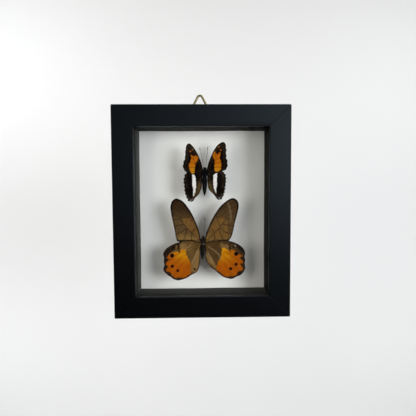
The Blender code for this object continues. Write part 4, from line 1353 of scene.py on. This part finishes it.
def wing_lift(points, half_span, rise, veins):
    """How far a wing stands in front of its flat plane: it rises to the tips and is ridged at the veins."""
    reach = np.abs(points[:, 0]) / half_span
    sway = 0.08 * MM * np.sin(points[:, 1] * 0.33 + points[:, 0] * 0.21)
    return rise * reach ** 2 + sway * reach + 0.1 * MM * np.exp(-(veins / 0.75) ** 2)


def make_wing(word, wing):
    """Draws the outline, fills it, divides it into cells, ridges it, thickens it and lays the veins on."""
    specimen = settings().specimen
    plan = PLANS[word]
    details = plan[wing]
    side = -1 if wing.endswith("left") else 1
    node = f"{word}_{wing}"
    low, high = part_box(node)
    middle = thorax_middle(word)
    outline = smooth_line(details["outline"], 8, closed=True)
    if "scallops" in details:
        outline = scalloped(outline, *details["scallops"])
    veins = []
    for vein in plan[wing.split("_")[0] + "_veins"]:
        line = smooth_line([(side * x, z) for x, z in vein], 8)
        line = stop_at_margin(line, outline)
        if len(line) > 2:
            veins.append(line)

    blade = outline_to_sheet(f"{node}_blade", outline)
    edit(blade)
    cell = specimen.cell / MM
    ring = np.array([tuple(point) for point in outline])
    for axis, direction in ((0, X), (1, Z)):
        count = int((ring[:, axis].max() - ring[:, axis].min()) / cell)
        for k in range(1, count + 1):
            at = ring[:, axis].min() + k * cell + 0.013
            slice_through(direction * at * MM, direction)
    leave()
    points = points_of(blade)
    flat = points[:, (0, 2)] / MM
    lift = wing_lift(flat, plan["half_span"], specimen.rise, distance_to_lines(flat, veins))
    if word == "lower" and wing.startswith("hindwing"):
        lift += 0.05 * MM * fan_folds(flat)
    points[:, 1] = (low.y + high.y) / 2 - lift
    move_points(blade, points)
    make_normals_outward(blade)
    apply_modifier(blade, "SOLIDIFY", thickness=specimen.wing, offset=0.0)
    parts = [blade]
    for number, line in enumerate(veins):
        flat = np.array([tuple(point) for point in line])
        lift = wing_lift(flat, plan["half_span"], specimen.rise, np.zeros(len(flat)))
        route = [(x * MM, (low.y + high.y) / 2 - h, z * MM) for (x, z), h in zip(flat, lift)]
        thin = np.linspace(1.0, 0.45, len(route))
        parts.append(line_to_rod(f"{node}_vein_{number}", route, specimen.vein, thin, fineness=1))
    whole = join(f"{node}_dried", parts)
    mark_wing(whole, details, outline, veins)
    whole.location = middle
    settle(whole)
    make_normals_outward(whole, 0.0005 * MM)
    smooth(whole, 50.0)
    return whole


def outline_to_sheet(name, outline):
    """A closed line, drawn and filled in the plane of the wing."""
    curve = bpy.data.curves.new(name, "CURVE")
    curve.dimensions = "3D"
    spline = curve.splines.new("POLY")
    spline.points.add(len(outline) - 1)
    for target, point in zip(spline.points, outline):
        target.co = (point[0] * MM, 0.0, point[1] * MM, 1.0)
    spline.use_cyclic_u = True
    sheet = bpy.data.objects.new(name, curve)
    bpy.context.scene.collection.objects.link(sheet)
    take(sheet)
    bpy.ops.object.convert(target="MESH")
    sheet = named(bpy.context.object, name)
    bpy.ops.object.mode_set(mode="EDIT")
    bpy.ops.mesh.select_mode(type="VERT")
    bpy.ops.mesh.select_all(action="SELECT")
    bpy.ops.mesh.edge_face_add()
    leave()
    return sheet


def fan_folds(points):
    """Folds that fan out from the wing's root, from 0 in a valley to 1 on a ridge."""
    angle = np.arctan2(points[:, 1], np.abs(points[:, 0]))
    reach = np.hypot(points[:, 0], points[:, 1])
    return (0.5 + 0.5 * np.cos(angle * 34 + 0.12 * reach)) * np.clip(reach / 7, 0, 1)


def mark_wing(piece, details, outline, veins):
    """Writes on the mesh how many millimetres each point is from the margin, the veins and each marking."""
    points = points_of(piece)[:, (0, 2)] / MM
    write_attribute(piece, "rim", distance_to_lines(points, [list(outline) + [outline[0]]]))
    write_attribute(piece, "vein", np.minimum(distance_to_lines(points, veins), 3.0))
    write_attribute(piece, "height", points[:, 1])
    # Painted side light per wing: 1 leaves the colours as drawn; below 1 lightens a forewing's tip and
    # darkens a hindwing's root.
    write_attribute(piece, "painted_side_light", np.full(len(points), details.get("painted_side_light", 1.0)))
    write_attribute(piece, "out", np.abs(points[:, 0]))
    write_attribute(piece, "fan", fan_folds(points))
    for name in ("line", "pale", "crease"):
        write_attribute(piece, name, distance_to_lines(points, details.get(name, [])))
    for name in ("patch", "tan", "dark"):
        rounded = [smooth_line(shape, 5, closed=True) for shape in details.get(name, [])]
        write_attribute(piece, name, depth_inside(points, rounded))
    for name in ("spots", "fleck", "glow"):
        write_attribute(piece, name, depth_in_spots(points, details.get(name, [])))


class BuildWings(bpy.types.Operator):
    """Builds the eight dried wings with their veins and markings"""

    bl_idname = "butterflies.wings"
    bl_label = "Wings"

    def execute(self, context):
        finishes = {
            ("upper", "forewing"): ("dark_wing", dark_forewing()),
            ("upper", "hindwing"): ("dark_wing", dark_hindwing()),
            ("lower", "forewing"): ("brown_wing", brown_forewing()),
            ("lower", "hindwing"): ("orange_wing", orange_hindwing()),
        }
        for word in PLANS:
            for wing in WINGS:
                slot, finish = finishes[word, wing.split("_")[0]]
                finish_piece(make_wing(word, wing), "case", slot, finish, f"{word}_{wing}")
        return {"FINISHED"}


def make_body(word):
    """Head, eyes, palps, thorax and a ringed abdomen, with hairs on the thorax."""
    plan = PLANS[word]["body"]
    wide, deep, tall = (value * MM for value in plan["thorax"])
    head_radius, head_height = (value * MM for value in plan["head"])
    parts = [make_abdomen(word, plan["abdomen"]), make_thorax(word, wide, deep, tall)]
    round_head = Vector((head_radius, head_radius * 0.9, head_radius * 0.85))
    parts.append(make_ball(f"{word}_head", Vector((0, 0, head_height)), round_head))
    for side in (-1, 1):
        place = Vector((side * head_radius * 0.78, -0.1 * MM, head_height + 0.1 * MM))
        round_eye = Vector((head_radius * 0.52, head_radius * 0.68, head_radius * 0.7))
        eye = make_ball(f"{word}_eye", place, round_eye)
        write_attribute(eye, "eye", np.ones(len(eye.data.vertices)))
        parts.append(eye)
        tip = head_height + head_radius * 1.45
        route = [(side * 0.25 * MM, 0.2 * MM, head_height + 0.5 * head_radius),
                 (side * 0.42 * MM, 0.05 * MM, head_height + head_radius), (side * 0.3 * MM, -0.15 * MM, tip)]
        taper = np.linspace(1.1, 0.35, 9)
        parts.append(line_to_rod(f"{word}_palp", smooth_line(route, 4), 0.2 * MM, taper, fineness=2))
    hairs = make_hairs(word, wide, deep, tall, head_height, head_radius)
    write_attribute(hairs, "eye", np.zeros(len(hairs.data.vertices)))
    parts.append(hairs)
    body = join(f"{word}_hairy_body", parts)
    low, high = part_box(word + "_body")
    middle = thorax_middle(word)
    body.location = Vector((middle.x, (low.y + high.y) / 2, middle.z))
    body.rotation_euler = (0, math.radians(plan["turn"]), 0)
    settle(body)
    smooth(body, 60.0)
    return body


def make_ball(name, place, radii):
    """A rounded form that starts as a sphere and is pressed into shape."""
    deselect_all()
    bpy.ops.mesh.primitive_uv_sphere_add(segments=28, ring_count=18, radius=1.0)
    ball = named(bpy.context.object, name)
    edit(ball)
    bpy.ops.transform.resize(value=radii)
    leave()
    points = points_of(ball)
    points[:, 2] += 0.08 * radii.z * np.cos(points[:, 0] / radii.x * 2.2)
    move_points(ball, points + np.array(place))
    return ball


def make_thorax(word, wide, deep, tall):
    """Three humps: a collar, the broad middle where the wings join, and a narrow end."""
    thorax = make_ball(f"{word}_thorax", Vector((0, 0, 0)), Vector((wide, deep, tall)))
    points = points_of(thorax)
    share = points[:, 2] / tall
    waist = 1.0 - 0.16 * np.exp(-((share - 0.55) / 0.12) ** 2) - 0.1 * np.exp(-((share + 0.6) / 0.14) ** 2)
    ridge = 1.0 - 0.07 * np.exp(-(points[:, 0] / (0.12 * wide)) ** 2)
    points[:, 0] *= waist
    points[:, 1] *= waist * ridge
    move_points(thorax, points)
    return thorax


def make_abdomen(word, plan):
    """A spun profile with eight rings, a little flatter than it is wide."""
    line = smooth_line([(radius, height) for height, radius in plan], 16)
    top, bottom = line[0].y, line[-1].y
    rings = 8
    profile = [Vector((0, 0, (top + 0.4) * MM))]
    for radius, height in line:
        share = (top - height) / (top - bottom) * rings
        step = share - math.floor(share)
        fold = 1.0 - 0.09 * math.exp(-(min(step, 1 - step) / 0.12) ** 2) + 0.03 * step
        profile.append(Vector((radius * fold * MM, 0, height * MM)))
    profile.append(Vector((0, 0, (bottom - 0.25) * MM)))
    abdomen = turn_profile(f"{word}_abdomen", profile, Vector((0, 0, 0)), Z, 32)
    points = points_of(abdomen)
    share = (top * MM - points[:, 2]) / ((top - bottom) * MM) * rings
    step = share - np.floor(share)
    write_attribute(abdomen, "joint", np.exp(-(np.minimum(step, 1 - step) / 0.13) ** 2))
    points[:, 1] *= 0.88
    move_points(abdomen, points)
    return abdomen


def make_hairs(word, wide, deep, tall, head_height, head_radius):
    """Short curved hairs on the thorax, neck and head, and shorter ones down the abdomen's sides."""
    chance = random.Random(23 if word == "upper" else 41)
    vertices, faces, shades, pale = [], [], [], []
    tufts = PLANS[word]["body"]["tufts"]
    for _ in range(settings().specimen.hairs):
        around = chance.uniform(0, 2 * math.pi)
        spot = chance.random()
        if spot < 0.72:
            level = chance.uniform(-0.95, 0.97)
            ring = math.sqrt(1 - level ** 2)
            outward = Vector((ring * math.cos(around), ring * math.sin(around), level))
            root = Vector((outward.x * wide, outward.y * deep, outward.z * tall)) * 0.93
            length = chance.uniform(0.5, 1.25) * MM
            lay = Vector((0, 0, -0.9 if level < 0.45 else 0.35))
        elif spot < 0.88:
            level = chance.uniform(-0.3, 0.95)
            ring = math.sqrt(1 - level ** 2)
            outward = Vector((ring * math.cos(around), ring * math.sin(around), level))
            root = Vector((0, 0, head_height)) + outward * head_radius * 0.82
            length = chance.uniform(0.35, 0.8) * MM
            lay = Vector((0, 0, 0.5))
        else:
            level = chance.uniform(1.6, 5.5)
            outward = Vector((math.cos(around), math.sin(around), 0))
            root = Vector((0, 0, -level * MM)) + outward * 1.05 * MM
            length = chance.uniform(0.4, 0.9) * MM
            lay = Vector((0, 0, -1.4))
        toward = (outward + lay + Vector([chance.uniform(-0.3, 0.3) for _ in range(3)])).normalized()
        bend = (toward + lay * 0.5).normalized()
        side = toward.orthogonal().normalized()
        other = toward.cross(side)
        thick = chance.uniform(0.018, 0.034) * MM
        near = min((math.hypot(root.x / MM - x, root.z / MM - z) for x, z in tufts), default=9.0)
        pale += [1.0 if near < 0.75 and root.y < 0 else 0.0] * 7
        thick *= 1.0 + 0.6 * pale[-1]
        first = len(vertices)
        for height, radius, place in ((0, 1.0, root), (1, 0.75, root + toward * length * 0.5)):
            for k in range(3):
                turn = 2 * math.pi * k / 3
                vertices.append(place + (side * math.cos(turn) + other * math.sin(turn)) * thick * radius)
                shades.append(0.12 + 0.4 * height)
        vertices.append(root + toward * length * 0.5 + bend * length * 0.5)
        shades.append(1.0)
        faces.append((first + 2, first + 1, first))
        for k in range(3):
            a, b = first + k, first + (k + 1) % 3
            faces += [(a, b, b + 3, a + 3), (a + 3, b + 3, first + 6)]
    mesh = bpy.data.meshes.new(f"{word}_hairs")
    mesh.from_pydata(vertices, [], faces)
    hairs = bpy.data.objects.new(f"{word}_hairs", mesh)
    bpy.context.scene.collection.objects.link(hairs)
    write_attribute(hairs, "hair", shades)
    write_attribute(hairs, "pale", pale)
    return hairs


class BuildBodies(bpy.types.Operator):
    """Builds the two hairy bodies"""

    bl_idname = "butterflies.bodies"
    bl_label = "Bodies"

    def execute(self, context):
        for word in PLANS:
            plan = PLANS[word]["body"]
            finish = insect_body(f"{word}_body_shell", plan["hair"], plan["shell"])
            finish_piece(make_body(word), "case", "insect_body", finish, f"{word}_body")
        return {"FINISHED"}


class BuildAntennae(bpy.types.Operator):
    """Builds the ringed, clubbed antennae"""

    bl_idname = "butterflies.antennae"
    bl_label = "Antennae"

    def execute(self, context):
        finish = antenna_finish()
        for word, plan in PLANS.items():
            for node, route in plan["antennae"].items():
                feeler = make_antenna(word, node, route)
                finish_piece(feeler, "case", "insect_body", finish, node)
        return {"FINISHED"}


def make_antenna(word, node, route):
    low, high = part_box(node)
    middle = thorax_middle(word)
    level = (low.y + high.y) / 2
    line = smooth_line([(middle.x + x * MM, level, middle.z + z * MM) for x, z in route], 30)
    share = np.linspace(0, 1, len(line))
    rings = 0.5 + 0.5 * np.cos(share * 2 * math.pi * 30)
    club = np.clip((share - 0.84) / 0.1, 0, 1) * np.clip((1.015 - share) / 0.05, 0.3, 1)
    radii = 0.78 + 0.16 * rings + 1.5 * club
    feeler = line_to_rod(node + "_feeler", line, 0.13 * MM, radii, fineness=2)
    start, end = Vector(line[0]), Vector(line[-1])
    along = np.clip((points_of(feeler)[:, 2] - start.z) / (end.z - start.z), 0, 1)
    write_attribute(feeler, "joint", 0.5 + 0.5 * np.cos(along * 2 * math.pi * 30))
    write_attribute(feeler, "club", np.clip((along - 0.86) / 0.06, 0, 1))
    make_normals_outward(feeler)
    smooth(feeler, 60.0)
    return feeler


class BuildPosts(bpy.types.Operator):
    """Builds the small posts that carry the bodies in front of the card"""

    bl_idname = "butterflies.posts"
    bl_label = "Posts"

    def execute(self, context):
        finish = post_plastic()
        for word in PLANS:
            low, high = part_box(word + "_post")
            radius = (high.x - low.x) / 2
            length = high.y - low.y
            profile = [(0.0, 0.0), (0.72, 0.0), (0.9, 0.02), (0.9, 0.3), (0.78, 0.42), (0.78, 0.84),
                       (1.0, 0.93), (1.0, 1.0), (0.0, 1.0)]
            points = [Vector((r * radius, low.y + h * length, 0)) for r, h in profile]
            post = turn_profile(word + "_turned_post", points, Vector((0, 0, 0)), Y, 28)
            post.location = thorax_middle(word)
            settle(post)
            bevel_all(post, 0.06 * MM, 2, 40.0)
            smooth(post, 40.0)
            finish_piece(post, "case", "post_white", finish, word + "_post")
        return {"FINISHED"}


# ---------------------------------------------------------------- stage

STAGE_WIDTH = 4.0
WALL_ABOVE = 1.1  # from the middle of the frame up to the top of the wall
FLOOR_BELOW = 0.62  # from the middle of the frame down to the floor
CURVE = 0.25  # radius between the wall and the floor


def add_light(name, place, target, size, power, tint=(1.0, 1.0, 1.0)):
    deselect_all()
    bpy.ops.object.light_add(type="AREA", location=place)
    light = bpy.context.object
    light.name = name
    light.rotation_euler = (target - place).to_track_quat("-Z", "Y").to_euler()
    light.data.shape = "DISK"
    light.data.size = size
    light.data.energy = power
    light.data.color = tint
    light.visible_camera = False
    light.visible_glossy = False
    light.visible_transmission = False
    return light


class BuildStage(bpy.types.Operator):
    """Sets up the pale wall and floor, the soft lights and the camera"""

    bl_idname = "butterflies.stage"
    bl_label = "Stage"

    def execute(self, context):
        stage = settings().stage
        front = Vector((CASE_MIDDLE.x, CASE_LOW.y, CASE_MIDDLE.z))
        wall_y = CASE_HIGH.y + stage.distance
        deselect_all()
        bpy.ops.mesh.primitive_plane_add(size=1.0, location=(front.x, wall_y, front.z))
        backdrop = named(bpy.context.object, "stage_backdrop")
        lay_strip(backdrop, self.sweep(front, wall_y), STAGE_WIDTH)
        backdrop.location = (0, 0, 0)
        smooth(backdrop, 60.0)
        backdrop.data.materials.append(stage_wall())
        deselect_all()
        place = (front.x, wall_y - CURVE - STAGE_WIDTH / 2, front.z - FLOOR_BELOW)
        bpy.ops.mesh.primitive_plane_add(size=STAGE_WIDTH, location=place)
        floor = named(bpy.context.object, "stage_floor")
        settle(floor)
        floor.visible_glossy = False
        floor.visible_transmission = False
        floor.data.materials.append(backdrop.data.materials[0])
        for name, (azimuth, height, far, size, power, tint) in self.lamps(stage).items():
            across, up = math.radians(azimuth), math.radians(height)
            toward = Vector((math.sin(across) * math.cos(up), -math.cos(across) * math.cos(up), math.sin(up)))
            add_light(name, front + toward * far, front, size, power, tint)
        for side, level, share in ((-1, 1, 0.375), (-1, -1, 0.215), (1, 1, 0.185), (1, -1, 0.115)):
            place = front + Vector((side * 0.45, 0.12, level * 0.25))
            add_light("rear_light", place, front + Vector((0, 0.39, 0)), 0.3, stage.rear * share)
        self.light_room(stage)
        self.set_camera(front, stage.lens)
        bpy.context.scene.view_settings.view_transform = "Standard"
        return {"FINISHED"}

    @staticmethod
    def lamps(stage):
        """Degrees to the right and up as seen from the frame, then metres, metres, watts and colour."""
        return {
            "key_light": (42, 5, 0.52, 0.28, stage.key, (1.0, 1.0, 1.0)),
            "side_light": (-41, 4, 0.52, 0.32, stage.side, (1.0, 0.945, 0.83)),
            "soft_light": (-20, 30, 0.9, 0.7, stage.high, (1.0, 0.96, 0.87)),
        }

    @staticmethod
    def sweep(front, wall_y):
        """A wall that curves into a floor."""
        floor = front.z - FLOOR_BELOW
        path = [Vector((front.x, wall_y, front.z + WALL_ABOVE))]
        for k in range(13):
            angle = math.pi / 2 * k / 12
            path.append(Vector((front.x, wall_y - CURVE + CURVE * math.cos(angle),
                                floor + CURVE - CURVE * math.sin(angle))))
        return path

    @staticmethod
    def light_room(stage):
        """Plain pale to the eye, and as a lamp brightest in front, a little above and to the right."""
        world = bpy.data.worlds.new("room")
        world.use_nodes = True
        bpy.context.scene.world = world
        room = Nodes(world.node_tree)
        seen = world.node_tree.nodes["Background"]
        seen.inputs["Color"].default_value = (0.82, 0.83, 0.84, 1.0)
        path = room.add("ShaderNodeLightPath").outputs
        toward = room.add("ShaderNodeSeparateXYZ", {0: room.place_of("Generated")}).outputs
        above = room.spread(toward["Z"], 0.05, 0.4, 1.0, 0.45)
        high = room.times(room.spread(toward["Z"], -0.27, 0.14), above)
        right = room.maths("EXPONENT", room.times(room.maths("MINIMUM", toward["X"], 0.45), 3.6))
        glow = room.times(room.times(high, right), stage.room)
        mirrored = room.times(path["Is Glossy Ray"], path["Is Singular Ray"])
        unseen = room.maths("MAXIMUM", mirrored, path["Is Transmission Ray"])
        glow = room.times(glow, room.maths("SUBTRACT", 1.0, unseen))
        lit = room.add("ShaderNodeBackground", {"Color": (1.0, 0.97, 0.93), "Strength": glow})
        whole = room.add("ShaderNodeMixShader",
                         {0: path["Is Camera Ray"], 1: lit.outputs[0], 2: seen.outputs[0]})
        room.put(world.node_tree.nodes["World Output"].inputs["Surface"], whole.outputs[0])

    @staticmethod
    def set_camera(front, lens):
        deselect_all()
        place = front + Vector((-1.3, -262.7, 18.1)) * MM
        turned = [math.radians(angle) for angle in (86.773, 0.292, -1.218)]
        bpy.ops.object.camera_add(location=place, rotation=turned)
        camera = bpy.context.object
        camera.data.lens = lens
        camera.data.sensor_width = 36.0
        camera.data.clip_start = 0.01
        bpy.context.scene.camera = camera


# ---------------------------------------------------------------- add-on

class CaseAndSpecimens(bpy.types.PropertyGroup):
    """All sizes and colours of the framed butterflies."""

    case: PointerProperty(type=CaseSettings)
    hanger: PointerProperty(type=HangerSettings)
    specimen: PointerProperty(type=SpecimenSettings)
    stage: PointerProperty(type=StageSettings)


STEPS = (BuildFrame, BuildGlass, BuildLining, BuildCard, BuildBack, BuildStrap, BuildScrew, BuildRing,
         BuildWings, BuildBodies, BuildAntennae, BuildPosts, BuildStage)


class ButterflyPanel(bpy.types.Panel):
    """Lists the building steps and their sizes and colours"""

    bl_idname = "VIEW3D_PT_butterflies"
    bl_label = "Framed butterflies"
    bl_space_type = "VIEW_3D"
    bl_region_type = "UI"
    bl_category = "Butterflies"

    def draw(self, context):
        layout = self.layout
        chosen = context.scene.butterfly_case_settings
        for step in STEPS:
            layout.operator(step.bl_idname)
        for title in ("case", "hanger", "specimen", "stage"):
            box = layout.box()
            box.label(text=title.capitalize())
            group = getattr(chosen, title)
            for key in group.bl_rna.properties.keys():
                if key not in ("rna_type", "name"):
                    box.prop(group, key)


CLASSES = (CaseSettings, HangerSettings, SpecimenSettings, StageSettings, CaseAndSpecimens, *STEPS,
           ButterflyPanel)


def register():
    for cls in CLASSES:
        bpy.utils.register_class(cls)
    bpy.types.Scene.butterfly_case_settings = PointerProperty(type=CaseAndSpecimens)


def unregister():
    del bpy.types.Scene.butterfly_case_settings
    for cls in reversed(CLASSES):
        bpy.utils.unregister_class(cls)


def main():
    register()
    for step in STEPS:
        group, name = step.bl_idname.split(".")
        getattr(getattr(bpy.ops, group), name)()


if __name__ == "__main__":
    main()
